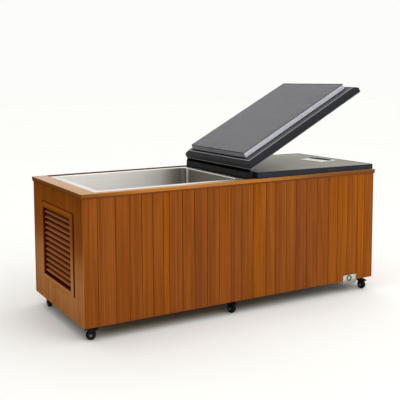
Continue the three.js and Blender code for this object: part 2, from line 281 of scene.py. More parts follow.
def screw(head=4.2, high=1.6):
    """A pan head with a cross recess, axis +Z, seated at zero."""
    bm = lathe([(0, -0.6), (head, -0.6), (head, high * 0.35), (head * 0.86, high * 0.78), (head * 0.5, high), (0, high)], 20)
    cross = []
    w, l = head * 0.13, head * 0.55
    for x0, x1, y0, y1 in ((-l, l, -w, w), (-w, w, -l, l)):
        cross.append(board(x0, x1, y0, y1, high * 0.99, high * 1.06, 0.05, 1))
    return bm, cross


def hexagon(r, h0, h1, edge=0.5):
    pts = [(r * math.cos(math.radians(60 * i)), r * math.sin(math.radians(60 * i))) for i in range(6)]
    return prism(pts, h0, h1, "Z", edge, 2)


# ================================================================= materials


class Finish:
    """A node material built round one Principled shader."""

    def __init__(self, name, **sockets):
        self.mat = bpy.data.materials.new(name)
        self.mat.use_nodes = True
        self.nt = self.mat.node_tree
        self.nt.nodes.clear()
        out = self.nt.nodes.new("ShaderNodeOutputMaterial")
        self.bsdf = self.nt.nodes.new("ShaderNodeBsdfPrincipled")
        self.nt.links.new(self.bsdf.outputs[0], out.inputs[0])
        for k, v in sockets.items():
            self.put(self.bsdf.inputs[k.replace("_", " ")], v)
        self.coord = self.n("ShaderNodeTexCoord").outputs["Object"]

    def n(self, kind, ins=None, **props):
        node = self.nt.nodes.new(kind)
        for k, v in props.items():
            setattr(node, k, v)
        for k, v in (ins or {}).items():
            self.put(node.inputs[k], v)
        return node

    def put(self, socket, v):
        if isinstance(v, bpy.types.NodeSocket):
            self.nt.links.new(v, socket)
        elif hasattr(socket.default_value, "__len__") and not hasattr(v, "__len__"):
            socket.default_value = [v] * len(socket.default_value)
        else:
            socket.default_value = v

    def attr(self, key):
        return self.n("ShaderNodeAttribute", attribute_name=key, attribute_type="GEOMETRY").outputs["Fac"]

    def math(self, op, a, b=0.0, clamp=False):
        return self.n("ShaderNodeMath", {0: a, 1: b}, operation=op, use_clamp=clamp).outputs[0]

    def scaled(self, vec, s):
        return self.n("ShaderNodeVectorMath", {0: vec, 1: s}, operation="MULTIPLY").outputs[0]

    def added(self, a, b):
        return self.n("ShaderNodeVectorMath", {0: a, 1: b}, operation="ADD").outputs[0]

    def noise(self, vec, scale=1.0, detail=3.0, rough=0.5, twist=0.0):
        return self.n("ShaderNodeTexNoise", {"Vector": vec, "Scale": scale, "Detail": detail, "Roughness": rough, "Distortion": twist}).outputs[0]

    def cells(self, vec, scale=1.0, feature="F1", out="Distance"):
        return self.n("ShaderNodeTexVoronoi", {"Vector": vec, "Scale": scale}, feature=feature).outputs[out]

    def span(self, v, a, b, c, d):
        return self.n("ShaderNodeMapRange", {0: v, 1: a, 2: b, 3: c, 4: d}).outputs[0]

    def ramp(self, fac, stops):
        node = self.n("ShaderNodeValToRGB", {0: fac})
        el = node.color_ramp.elements
        for e, (p, c) in ((el[0], stops[0]), (el[1], stops[-1])):
            e.position, e.color = p, (*c, 1.0)
        for p, c in stops[1:-1]:
            el.new(p).color = (*c, 1.0)
        return node.outputs[0]

    def along(self, axis, stops):
        """A ramp of colours along an axis of the model, in metres."""
        v = self.n("ShaderNodeSeparateXYZ", {0: self.coord}).outputs["XYZ".index(axis)]
        lo, hi = stops[0][0], stops[-1][0]
        return self.ramp(self.span(v, lo, hi, 0.0, 1.0), [((a - lo) / (hi - lo), c if hasattr(c, "__len__") else (c, c, c)) for a, c in stops])

    def mix(self, fac, a, b, kind="MIX"):
        node = self.n("ShaderNodeMix", data_type="RGBA", blend_type=kind)
        self.put(node.inputs[0], fac)
        self.put(node.inputs[6], a if isinstance(a, bpy.types.NodeSocket) else (*a, 1.0))
        self.put(node.inputs[7], b if isinstance(b, bpy.types.NodeSocket) else (*b, 1.0))
        return node.outputs[2]

    def bump(self, height, distance, strength=1.0, after=None):
        ins = {"Height": height, "Distance": distance, "Strength": strength}
        if after is not None:
            ins["Normal"] = after
        return self.n("ShaderNodeBump", ins).outputs[0]

    def use(self, color=None, rough=None, normal=None):
        if color is not None:
            self.put(self.bsdf.inputs["Base Color"], color)
        if rough is not None:
            self.put(self.bsdf.inputs["Roughness"], rough)
        if normal is not None:
            self.put(self.bsdf.inputs["Normal"], normal)
        return self.mat


def srgb(r, g, b):
    return tuple(((c / 255.0 + 0.055) / 1.055) ** 2.4 if c > 10 else c / 255.0 / 12.92 for c in (r, g, b))


def wood(name, axis, dark, mid, light, rough=(0.36, 0.52), gloss=0.5, varied=1.0, painted_shade_ramp=None):
    """Oiled timber. Grain runs along the axis, shifted for each board by its seed.
    painted_shade_ramp is an axis and places along it, each with the part of every colour that is left there: painted
    light and shade."""
    f = Finish(name, Specular_IOR_Level=gloss)
    seed, tone = f.attr("seed"), f.attr("tone")
    shift = f.n("ShaderNodeCombineXYZ", {0: f.math("MULTIPLY", seed, 17.3), 1: f.math("MULTIPLY", seed, 9.1), 2: f.math("MULTIPLY", seed, 31.7)}).outputs[0]
    p = f.added(f.coord, shift)

    def along(across, length):
        return [length if a == axis else across for a in "XYZ"]

    figure = f.noise(f.scaled(p, along(11.0, 0.4)), 1.0, 3.0, 0.5, 0.2)
    lines = f.math("SINE", f.math("MULTIPLY", figure, 46.0))
    streak = f.noise(f.scaled(p, along(150.0, 0.55)), 1.0, 4.0, 0.62, 0.05)
    fibre = f.noise(f.scaled(p, along(420.0, 3.0)), 1.0, 3.0, 0.6, 0.0)
    cloud = f.noise(f.scaled(p, along(7.0, 0.8)), 1.0, 2.0, 0.5, 0.0)
    pore = f.noise(f.scaled(p, along(800.0, 22.0)), 1.0, 2.0, 0.5, 0.0)
    k = f.math("MULTIPLY", lines, 0.045 * varied)
    k = f.math("ADD", k, f.math("MULTIPLY", streak, 0.62 * varied))
    k = f.math("ADD", k, f.math("MULTIPLY", fibre, 0.28 * varied))
    k = f.math("ADD", k, f.math("MULTIPLY", cloud, 0.22 * varied))
    k = f.math("ADD", k, 0.5 - 0.56 * varied)
    col = f.ramp(k, [(0.18, dark), (0.5, mid), (0.82, light)])
    col = f.mix(f.span(pore, 0.64, 0.72, 0.0, 0.45), col, tuple(c * 0.42 for c in dark))
    hsv = f.n("ShaderNodeHueSaturation", {"Hue": f.span(tone, 0.0, 1.0, 0.494, 0.506), "Saturation": f.span(tone, 0.0, 1.0, 0.95, 1.05),
                                          "Value": f.span(tone, 0.0, 1.0, 0.66, 1.34), "Color": col}).outputs[0]
    if painted_shade_ramp:
        # painted light and shade multiplied into the timber
        hsv = f.mix(1.0, hsv, f.along(*painted_shade_ramp), "MULTIPLY")
    wear = f.noise(f.scaled(p, along(24.0, 6.0)), 1.0, 4.0, 0.6, 0.0)
    r = f.math("ADD", f.span(streak, 0.3, 0.7, rough[0], rough[1]), f.span(wear, 0.35, 0.65, -0.04, 0.05))
    h = f.math("ADD", f.math("MULTIPLY", streak, 0.7), f.math("MULTIPLY", fibre, 0.5))
    h = f.math("SUBTRACT", h, f.span(pore, 0.62, 0.74, 0.0, 0.8))
    return f.use(hsv, r, f.bump(h, 0.00035, 0.7))


def vinyl(name, base, rough=(0.42, 0.58), gloss=0.5, lift=1.0, blot=0.2, painted_shade_along=None):
    """Marine vinyl: a fine pebbled grain with slow changes of shade and gloss.
    painted_shade_along is an axis and places along it with the part of the colour that is left there: painted shade."""
    f = Finish(name, Specular_IOR_Level=gloss)
    p = f.coord
    wob = f.noise(p, 160.0, 2.0, 0.5)
    peb = f.cells(f.added(p, f.scaled(f.n("ShaderNodeCombineXYZ", {0: wob, 1: wob, 2: wob}).outputs[0], [0.002] * 3)), 780.0, "DISTANCE_TO_EDGE")
    fine = f.noise(p, 2600.0, 2.0, 0.6)
    slow = f.noise(p, 5.5, 4.0, 0.55)
    scuff = f.noise(f.scaled(p, [34.0, 12.0, 30.0]), 1.0, 6.0, 0.65, 0.8)
    k = f.math("ADD", f.math("MULTIPLY", slow, 0.6), f.math("MULTIPLY", scuff, 0.4))
    col = f.ramp(k, [(0.28, tuple(c * (1 - blot) for c in base)), (0.5, base), (0.74, tuple(min(1, c * (1 + blot) + 0.006 * lift) for c in base))])
    col = f.mix(f.span(peb, 0.0, 0.08, 0.35, 0.0), col, tuple(c * 0.55 for c in base))
    if painted_shade_along:
        # painted shade multiplied along an axis
        col = f.mix(1.0, col, f.along(*painted_shade_along), "MULTIPLY")
    r = f.span(f.math("ADD", f.math("MULTIPLY", scuff, 0.6), f.math("MULTIPLY", slow, 0.4)), 0.3, 0.7, rough[0], rough[1])
    h = f.math("ADD", f.math("MINIMUM", f.math("MULTIPLY", peb, 6.0), 1.0), f.math("MULTIPLY", fine, 0.3))
    return f.use(col, r, f.bump(h, 0.00022, 0.55))


def steel(name, base, grain, rough=(0.24, 0.36), fine=1.0, shade=None, metal=1.0, lie="X"):
    """Brushed stainless. grain is the texture scale on each axis, small along the brushing.
    shade gives places along the axis lie and how much of the colour is left there: painted shade."""
    f = Finish(name, Metallic=metal)
    line = f.noise(f.scaled(f.coord, [g * fine for g in grain]), 1.0, 5.0, 0.65)
    wide = f.noise(f.scaled(f.coord, [max(g * 0.06, 1.6) for g in grain]), 1.0, 3.0, 0.5)
    smear = f.noise(f.coord, 7.0, 4.0, 0.6)
    k = f.math("ADD", f.math("MULTIPLY", line, 0.65), f.math("MULTIPLY", wide, 0.35))
    col = f.ramp(k, [(0.25, tuple(c * 0.86 for c in base)), (0.55, base), (0.8, tuple(min(1.0, c * 1.08) for c in base))])
    if shade:
        col = f.mix(1.0, col, f.along(lie, shade), "MULTIPLY")
    r = f.math("ADD", f.span(line, 0.3, 0.7, rough[0], rough[1]), f.span(smear, 0.35, 0.7, -0.03, 0.06))
    return f.use(col, r, f.bump(line, 0.00005, 0.5))


def coated(name, base, rough=(0.4, 0.55), metal=0.0, grain=420.0, lift=0.00006, gloss=0.5, blot=0.18):
    """Painted, moulded or cast surfaces with a fine orange peel and slight dust."""
    f = Finish(name, Metallic=metal, Specular_IOR_Level=gloss)
    peel = f.noise(f.coord, grain, 3.0, 0.55)
    slow = f.noise(f.coord, 16.0, 4.0, 0.6)
    dust = f.noise(f.coord, 70.0, 5.0, 0.7)
    col = f.ramp(f.math("ADD", f.math("MULTIPLY", slow, 0.7), f.math("MULTIPLY", dust, 0.3)),
                 [(0.3, tuple(c * (1 - blot) for c in base)), (0.52, base), (0.75, tuple(min(1.0, c * (1 + blot) + 0.004) for c in base))])
    r = f.span(f.math("ADD", f.math("MULTIPLY", slow, 0.5), f.math("MULTIPLY", dust, 0.5)), 0.3, 0.7, rough[0], rough[1])
    return f.use(col, r, f.bump(peel, lift, 0.6))


def webbing(name, base):
    """Woven strap: ribs across and a twill along."""
    f = Finish(name, Roughness=0.8, Specular_IOR_Level=0.0)
    sep = f.n("ShaderNodeSeparateXYZ", {0: f.coord})
    a = f.math("SINE", f.math("MULTIPLY", f.math("ADD", sep.outputs[0], sep.outputs[1]), 2600.0))
    b = f.math("SINE", f.math("MULTIPLY", f.math("SUBTRACT", sep.outputs[0], sep.outputs[1]), 2600.0))
    w = f.math("MAXIMUM", a, b)
    fuzz = f.noise(f.coord, 900.0, 3.0, 0.6)
    h = f.math("ADD", w, f.math("MULTIPLY", fuzz, 0.8))
    col = f.ramp(f.span(h, -0.6, 1.8, 0.0, 1.0), [(0.1, tuple(c * 0.5 for c in base)), (0.6, base), (0.95, tuple(min(1, c * 1.6 + 0.01) for c in base))])
    return f.use(col, f.span(fuzz, 0.3, 0.7, 0.72, 0.88), f.bump(h, 0.0003, 0.8))


def layered(name, light, dark):
    """Plywood: plies along its thickness, a broad rotary grain on its face."""
    f = Finish(name, Specular_IOR_Level=0.3)
    broad = f.noise(f.scaled(f.coord, [1.4, 16.0, 6.0]), 1.0, 4.0, 0.55, 1.2)
    fine = f.noise(f.scaled(f.coord, [14.0, 380.0, 300.0]), 1.0, 3.0, 0.6)
    k = f.math("ADD", f.math("MULTIPLY", f.math("SINE", f.math("MULTIPLY", broad, 30.0)), 0.12), f.math("MULTIPLY", fine, 0.75))
    col = f.ramp(k, [(0.2, dark), (0.55, light)])
    return f.use(col, f.span(fine, 0.3, 0.7, 0.62, 0.8), f.bump(fine, 0.0003, 0.5))


def finned(name, base):
    """Close-set cooling fins, crossing the face."""
    f = Finish(name, Metallic=0.9)
    sep = f.n("ShaderNodeSeparateXYZ", {0: f.coord})
    fin = f.math("SINE", f.math("MULTIPLY", sep.outputs[1], 2400.0))
    grime = f.noise(f.coord, 40.0, 4.0, 0.6)
    col = f.ramp(f.span(fin, -1.0, 1.0, 0.0, 1.0), [(0.2, tuple(c * 0.35 for c in base)), (0.8, base)])
    return f.use(f.mix(f.span(grime, 0.4, 0.7, 0.0, 0.35), col, (0.10, 0.095, 0.09)), f.span(grime, 0.3, 0.7, 0.35, 0.5), f.bump(fin, 0.0006, 0.8))


PLANK = [wood("plank_timber_" + a, a.upper(), srgb(96, 46, 11), srgb(138, 73, 20), srgb(168, 97, 34), (0.44, 0.6), 0.03, 1.1) for a in "xyz"]
# End planks: painted shade along Z, darker and redder towards the top, lighter towards the bottom.
END_PAINTED_SHADE = ("Z", ((0.10, (0.92, 0.82, 0.64)), (0.19, (1.0, 0.915, 0.75)), (0.28, (1.0, 0.93, 0.82)), (0.37, (0.89, 0.80, 0.56)), (0.46, (0.65, 0.434, 0.225)), (0.55, (0.54, 0.335, 0.135)), (0.64, (0.54, 0.343, 0.107)), (0.70, (0.495, 0.30, 0.09)), (0.75, (0.47, 0.29, 0.06))))
END = [wood("end_timber_" + a, a.upper(), srgb(134, 85, 46), srgb(166, 113, 69), srgb(190, 137, 93), (0.44, 0.6), 0.0, 0.95, END_PAINTED_SHADE) for a in "xyz"]
RAIL = [wood("rail_timber_" + a, a.upper(), srgb(150, 98, 42), srgb(174, 122, 58), srgb(196, 148, 86), (0.24, 0.36), 0.34, 0.55) for a in "xyz"]
# Rail faces towards front and back: painted light and shade along X, darker towards both ends and bluer to the right.
RAIL_FACE_PAINTED_LIGHT = wood("rail_face_timber", "X", srgb(146, 82, 26), srgb(178, 110, 43), srgb(204, 138, 66), (0.34, 0.48), 0.04, 0.8,
                 ("X", ((-0.965, (0.45, 0.44, 0.40)), (-0.88, (0.60, 0.57, 0.48)), (-0.80, (0.76, 0.70, 0.58)), (-0.64, 1.0), (0.0, (0.96, 0.92, 0.96)), (0.16, (0.84, 0.88, 1.0)),
                         (0.32, (0.73, 0.76, 0.90)), (0.48, (0.53, 0.53, 0.72)), (0.64, (0.47, 0.41, 0.54)), (0.80, (0.43, 0.39, 0.46)), (0.965, (0.37, 0.40, 0.5)))))
# A darker copy of the rail timber for the faces towards the ends: painted shade.
RAIL_SIDE_SHADED = wood("rail_side_timber", "Y", srgb(78, 44, 16), srgb(112, 66, 28), srgb(134, 84, 40), (0.5, 0.62), 0.0, 0.6)
# The back rail: a darker copy of the rail timber, painted shade, darker still along X towards the lid.
BACK_RAIL_SHADED = wood("back_rail_timber", "X", srgb(64, 34, 10), srgb(96, 56, 20), srgb(120, 76, 34), (0.6, 0.72), 0.0, 0.6,
                 ("X", ((-0.16, 1.0), (-0.05, (0.4, 0.36, 0.34)), (0.05, 0.25))))
# Slats: painted shade along X, darker deeper in the louvre opening.
SLAT = wood("slat_timber", "Y", srgb(112, 60, 30), srgb(164, 98, 54), srgb(198, 130, 80), (0.42, 0.58), 0.0, 0.8,
            ("X", ((-0.962, 1.0), (-0.953, 0.8), (-0.946, (0.28, 0.22, 0.2)), (-0.936, (0.12, 0.09, 0.08)))))
# Near-black red timber for the louvre recess and for thin strips where shadows fall: painted shade.
REVEAL_SHADE = [wood("reveal_timber_" + a, a.upper(), srgb(48, 14, 9), srgb(76, 24, 15), srgb(98, 38, 24), (0.5, 0.65), 0.0, 0.6) for a in "xyz"]
VINYL = vinyl("cover_vinyl", (0.017, 0.018, 0.022), (0.46, 0.6), 0.12)
VINYL_FLAT = vinyl("cover_vinyl_flat", (0.020, 0.022, 0.032), (0.46, 0.6), 0.12)
VINYL_END = vinyl("cover_vinyl_end", (0.019, 0.020, 0.023), (0.46, 0.6), 0.15)
# Top vinyl: olive grey, with painted shade along X, darkest near the lid and darker at the far end.
VINYL_TOP = vinyl("cover_vinyl_worn", (0.285, 0.266, 0.212), (0.40, 0.55), 0.4, 1.0, 0.2, ("X", ((0.08, 0.38), (0.25, 0.68), (0.45, 1.0), (0.7, 0.94), (0.97, 0.74))))
VINYL_UNDER = vinyl("cover_vinyl_under", (0.124, 0.124, 0.138), (0.46, 0.6), 0.35, 1.0, 0.12)
GUSSET = vinyl("cover_gusset", (0.54, 0.535, 0.605), (0.45, 0.6), 0.4, 1.0, 0.1)
# Darker copy of the gusset vinyl for the plug's ends: painted shade.
GUSSET_END = vinyl("cover_gusset_end", (0.20, 0.20, 0.22), (0.45, 0.6), 0.35, 1.0, 0.1)
# Lid welt, far lighter than the vinyl it edges: painted highlight line.
WELT = vinyl("cover_welt", (0.17, 0.172, 0.185), (0.36, 0.5))
SPINE = vinyl("cover_spine", (0.010, 0.010, 0.010), (0.46, 0.6), 0.1)
BINDING = vinyl("cover_binding", (0.003, 0.003, 0.0035), (0.6, 0.7), 0.0, 0.3)
VINYL_RIM = vinyl("cover_vinyl_rim", (0.062, 0.062, 0.070), (0.46, 0.6), 0.3, 1.0, 0.12)
# Lighter still, for the lid's lower welt: painted highlight line.
LIT_WELT = vinyl("cover_welt_pale", (0.27, 0.272, 0.29), (0.36, 0.5))
PATCH = vinyl("patch_vinyl", (0.95, 0.95, 0.94), (0.36, 0.5), 0.5, 0.0, 0.05)
THREAD = coated("cover_thread", (0.05, 0.05, 0.055), (0.6, 0.75), 0.0, 900.0, 0.0001)
PALE_THREAD = coated("pale_thread", (0.5, 0.5, 0.52), (0.6, 0.75), 0.0, 900.0, 0.0001)
STRAP = webbing("strap_web", (0.005, 0.005, 0.0055))
# Basin walls: painted shade along X, darkening towards the right end under the raised lid.
STEEL_WALL = steel("brushed_wall", (0.91, 0.885, 0.855), (1.2, 1.2, 240.0), (0.30, 0.42), 1.0, ((-0.85, 1.0), (-0.45, 1.0), (-0.31, (0.95, 0.945, 0.94)), (-0.17, (0.74, 0.73, 0.72)), (-0.08, (0.30, 0.28, 0.25)), (-0.03, (0.19, 0.17, 0.145)), (0.01, (0.20, 0.18, 0.15))), 0.25)
# Bright steel without the wall's painted shade, for a painted highlight strip.
SEAM_HIGHLIGHT = steel("polished_seam", (0.66, 0.65, 0.63), (1.2, 1.2, 240.0), (0.30, 0.42), 1.0, None, 0.3)
STEEL_FLAT = steel("brushed_flat", (0.74, 0.73, 0.705), (2.0, 240.0, 2.0), (0.30, 0.42))
ZINC = steel("bright_zinc", (0.82, 0.82, 0.80), (150.0, 150.0, 20.0), (0.2, 0.36))
# Drain plate: painted shade along Z, darker towards its foot under the cabinet.
PLATE = steel("plate_steel", (0.58, 0.555, 0.495), (60.0, 60.0, 60.0), (0.34, 0.5), 1.0, ((0.056, 0.42), (0.074, 0.62), (0.086, 0.95), (0.112, 1.0)), 0.6, "Z")
BRONZE = steel("aged_bronze", (0.085, 0.073, 0.048), (120.0, 120.0, 120.0), (0.4, 0.55), 1.0, None, 0.5)
BOLT = coated("dull_bolt", (0.16, 0.16, 0.155), (0.3, 0.4), 0.6, 300.0, 0.00006)
BLACK = coated("black_coat", (0.004, 0.004, 0.0045), (0.26, 0.4), 0.0, 420.0, 0.00006, 0.12)
BITUMEN = coated("bitumen_coat", (0.030, 0.027, 0.024), (0.7, 0.85), 0.0, 180.0, 0.0004, 0.15, 0.3)
RUBBER = coated("tread_rubber", (0.005, 0.005, 0.005), (0.5, 0.66), 0.0, 240.0, 0.00012, 0.1, 0.3)
NYLON = coated("black_nylon", (0.008, 0.008, 0.0085), (0.34, 0.48), 0.0, 500.0, 0.00008, 0.15)
WHITE = coated("white_shell", (0.70, 0.69, 0.66), (0.4, 0.55), 0.0, 350.0, 0.00006, 0.5, 0.06)
FOAM = coated("foam_block", (0.62, 0.60, 0.54), (0.75, 0.9), 0.0, 260.0, 0.0006, 0.2, 0.12)
PLY = layered("plywood", srgb(206, 172, 120), srgb(160, 116, 68))
FIN = finned("fin_stack", (0.62, 0.63, 0.64))
COPPER = steel("drawn_copper", (0.78, 0.36, 0.20), (60.0, 60.0, 60.0), (0.24, 0.4))

BY_SLOT = {"plank_wood": PLANK[2], "rail_wood": RAIL[0], "plywood": PLY, "stainless": STEEL_FLAT, "cover_vinyl": VINYL, "strap_web": STRAP,
           "black_metal": BLACK, "caster_rubber": RUBBER, "black_plastic": NYLON, "white_plastic": WHITE, "foam": FOAM,
           "fin_aluminium": FIN, "copper": COPPER}

# ==================================================================== camera
cam = bpy.data.objects.new("view", bpy.data.cameras.new("view"))
bpy.context.scene.collection.objects.link(cam)
cam.data.sensor_fit = "HORIZONTAL"
cam.data.sensor_width = 36.0
cam.data.lens = 728.4 * 36.0 / 400.0
cam.data.shift_y = -0.125
cam.data.clip_end = 200.0
yaw, pitch, roll = math.radians(30.08), math.radians(5.67), math.radians(-0.205)
look = Vector((math.sin(yaw) * math.cos(pitch), math.cos(yaw) * math.cos(pitch), -math.sin(pitch)))
side = Vector((math.cos(yaw), -math.sin(yaw), 0.0))
over = side.cross(look)
side, over = side * math.cos(roll) + over * math.sin(roll), over * math.cos(roll) - side * math.sin(roll)
cam.location = (-2.240, -3.760, 1.334)
cam.rotation_euler = Matrix((side, over, -look)).transposed().to_euler()
bpy.context.scene.camera = cam

# =================================================================== cabinet
FRONT_JOINTS = [0, 80, 178, 255, 327, 389, 451, 487, 567, 641, 721, 797, 874, 946, 1023, 1112, 1178, 1257, 1326, 1405, 1484, 1573, 1642, 1722, 1799, 1858, 1930]
FRONT_TONES = [0.44, 0.40, 0.46, 0.47, 0.50, 0.44, 0.66, 0.40, 0.46, 0.36, 0.40, 0.50, 0.34, 0.42, 0.60, 0.48, 0.36, 0.44, 0.30, 0.34, 0.42, 0.60, 0.64, 0.54, 0.68, 0.60]
NOTCH = (731.0, 842.0, ZB + 41.0)

SEAM = 0.95
front = Shape()
for i, (a, b) in enumerate(zip(FRONT_JOINTS, FRONT_JOINTS[1:])):
    x0, x1 = a - XE + (SEAM if i else 0.0), b - XE - (SEAM if b < 1930 else 0.0)
    y0 = -YE + dice.uniform(0.0, 0.5)
    tone = FRONT_TONES[i] + dice.uniform(-0.02, 0.02)
    lo, hi = max(x0, NOTCH[0]), min(x1, NOTCH[1])
    if hi <= lo:
        bm = board(x0, x1, y0, -YE + PLANK_T, ZB, WALL_TOP, 2.0)
    else:
        # the drain notch takes a bite out of the foot of these planks
        pts = [(x0, ZB), (lo, ZB), (lo, NOTCH[2])] if lo > x0 + 4 else [(x0, NOTCH[2])]
        pts += [(hi, NOTCH[2]), (hi, ZB), (x1, ZB)] if hi < x1 - 4 else [(x1, NOTCH[2])]
        bm = prism(pts + [(x1, WALL_TOP), (x0, WALL_TOP)], y0, -YE + PLANK_T, "Y", 2.0)
    bm.normal_update()
    # the side of the first plank that faces the end takes the end timber, with its painted shade
    for f in bm.faces:
        f.material_index = 1 if i == 0 and f.normal.x < -0.3 else 0
    front.add(bm, None, tone=tone)
front.make("front_planks", [PLANK[2], END[2]], "root", ["front_panel"], "plank_wood")

back = Shape()
edges = [-XE + i * 2 * XE / 25 for i in range(26)]
for a, b in zip(edges, edges[1:]):
    back.add(board(a + (SEAM if a > -XE else 0), b - (SEAM if b < XE - 1 else 0), YE - PLANK_T, YE - dice.uniform(0.0, 0.5), ZB, WALL_TOP, 2.0),
             0, tone=0.44 + dice.uniform(-0.14, 0.16))
back.make("back_planks", [PLANK[2]], "root", ["back_panel"], "plank_wood")

INY = YE - PLANK_T - 0.3
END_JOINTS = [-INY, -308.0, -229.2, -154.2, -79.2, -4.0, 71.0, 146.0, 221.8, 300.0, INY]
LY, LZ = (-265.0, 246.0), (207.0, 641.0)      # louvre frame
OY, OZ = (-224.0, 216.5), (226.5, 611.5)      # its opening
HOLE = (OY[0] - 5.0, OY[1] + 5.0, OZ[0] - 5.0, OZ[1] + 5.0)
left = Shape()
right = Shape()
for i, (a, b) in enumerate(zip(END_JOINTS, END_JOINTS[1:])):
    a, b = a + (0.2 if i else 0), b - (0.2 if i < 9 else 0)
    seed = dice.random()
    tone = 0.46 + dice.uniform(-0.12, 0.14)
    x0 = -XE + dice.uniform(0.0, 0.25)
    if 2 <= i <= 7:
        left.add(board(x0, -XE + PLANK_T, a, b, ZB, HOLE[2] - 0.3, 0.8), 0, seed, tone)
        left.add(board(x0, -XE + PLANK_T, a, b, HOLE[3] + 0.3, WALL_TOP, 0.8), 0, seed, tone)
    else:
        left.add(board(x0, -XE + PLANK_T, a, b, ZB, WALL_TOP, 0.8), 0, seed, tone)
    right.add(board(XE - PLANK_T, XE - dice.uniform(0.0, 0.5), a, b, ZB, WALL_TOP, 0.8), 0, dice.random(), 0.46 + dice.uniform(-0.12, 0.14))
left.make("left_planks", [END[2]], "root", ["left_panel"], "plank_wood")
right.make("right_planks", [END[2]], "root", ["right_panel"], "plank_wood")

# Cap rails with eased edges, and the small cove strip that closes the joint under them.
rx, ry = XE + 6.0, YE + 6.0
RT = 18.0
RF, RE, RB = 41.0, 87.0, 60.0


def railing(x0, x1, y0, y1):
    """A cap rail with eased edges. Its faces towards the ends of the cabinet take a darker copy of the timber, painted
    shade, and its faces towards front and back a copy with painted light and shade.
    """
    bm = board(x0, x1, y0, y1, ZR - RT, ZR, 1.8, 3)
    bm.normal_update()
    for f in bm.faces:
        f.material_index = 1 if abs(f.normal.x) > 0.3 and f.normal.z < 0.5 else 2 if abs(f.normal.y) > 0.3 and f.normal.z < 0.5 else 0
    return bm


Shape().add(railing(-rx, rx, -ry, -ry + RF), None, 0.31, 0.50).make("front_rail", [RAIL[0], RAIL_SIDE_SHADED, RAIL_FACE_PAINTED_LIGHT], "root", ["rim_front"], "rail_wood")
Shape().add(railing(-rx, -rx + RE, -ry + RF + 0.3, ry), None, 0.73, 0.56).make("left_rail", [RAIL[1], RAIL_SIDE_SHADED, RAIL_FACE_PAINTED_LIGHT], "root", ["rim_left"], "rail_wood")
Shape().add(railing(-rx + RE + 0.3, rx, ry - RB, ry), None, 0.12, 0.40).make("back_rail", [BACK_RAIL_SHADED, RAIL_SIDE_SHADED, BACK_RAIL_SHADED], "root", ["rim_back"], "rail_wood")
Shape().add(railing(rx - RE, rx, -ry + RF + 0.3, ry - RB - 0.3), None, 0.58, 0.48).make("right_rail", [RAIL[1], RAIL_SIDE_SHADED, RAIL_FACE_PAINTED_LIGHT], "root", ["rim_right"], "rail_wood")


def cove(length_axis, a0, a1, wall, out):
    """A quarter-hollow strip in the corner between wall and rail."""
    t = WALL_TOP + 0.1
    pts = [(0, 0), (4.6, 0), (4.6, -1.4), (2.6, -3.2), (1.4, -5.4), (1.2, -8.2), (0, -8.6)]
    if length_axis == "X":
        return prism([(wall + out * p, t + q) for p, q in pts], a0, a1, "X", 0.25, 1)
    return prism([(wall + out * p, t + q) for p, q in pts], a0, a1, "Y", 0.25, 1)


# The long cove strips take the darkest tone, 0.05, as painted shade under the rails; the end strips take the shaded
# rail-side timber.
trim = Shape()
trim.add(cove("X", -XE - 4.6, XE + 4.6, -YE, -1), 0, 0.2, 0.05)
trim.add(cove("X", -XE - 4.6, XE + 4.6, YE, 1), 0, 0.4, 0.05)
trim.make("cove_long", [PLANK[0]], "root", (), "plank_wood")
trim = Shape()
trim.add(cove("Y", -YE, YE, -XE, -1), 0, 0.6, 0.05)
trim.add(cove("Y", -YE, YE, XE, 1), 0, 0.8, 0.05)
trim.make("cove_ends", [RAIL_SIDE_SHADED], "root", (), "plank_wood")

# ==================================================================== louvre
fx0, fx1 = -XE - 6.0, -XE - 0.3
frm = Shape()
jamb = board(fx0, fx1, LY[0], OY[0], LZ[0], LZ[1], 1.6, 2)
# the jamb's face towards the front takes the dark timber: painted shade
jamb.normal_update()
for f in jamb.faces:
    f.material_index = 2 if f.normal.y < -0.5 else 0
frm.add(jamb, None, 0.11, 0.50)
frm.add(board(fx0, fx1, OY[1], LY[1], LZ[0], LZ[1], 1.6, 2), 0, 0.27, 0.46)
frm.add(board(fx0, fx1, OY[0] + 0.3, OY[1] - 0.3, OZ[1], OZ[1] + 10.5, 1.2, 2), 1, 0.45, 0.44)
# the chamfered top edge takes a lighter tone, 0.86: a painted highlight on a real chamfer
frm.add(prism([(fx0 + 1.0, OZ[1] + 10.8), (fx1, OZ[1] + 10.8), (fx1, LZ[1]), (fx1 - 0.8, LZ[1]), (fx0 + 1.0, LZ[1] - 6.0)], OY[0] + 0.3, OY[1] - 0.3, "Y", 0.4, 2), 1, 0.52, 0.86)
# two thin dark strips on the wall, above the frame and beside its near jamb: painted shadow lines
frm.add(board(-XE - 0.7, -XE - 0.3, LY[0], LY[1], LZ[1] + 0.3, LZ[1] + 5.0, 0.15, 1), 3, 0.6, 0.6)
frm.add(board(-XE - 0.7, -XE - 0.3, LY[0] - 5.0, LY[0] - 0.3, LZ[0] - 3.0, LZ[1] + 5.0, 0.15, 1), 2, 0.6, 0.4)
frm.add(board(fx0, fx1, OY[0] + 0.3, OY[1] - 0.3, LZ[0], OZ[0], 1.6, 2), 1, 0.66, 0.50)
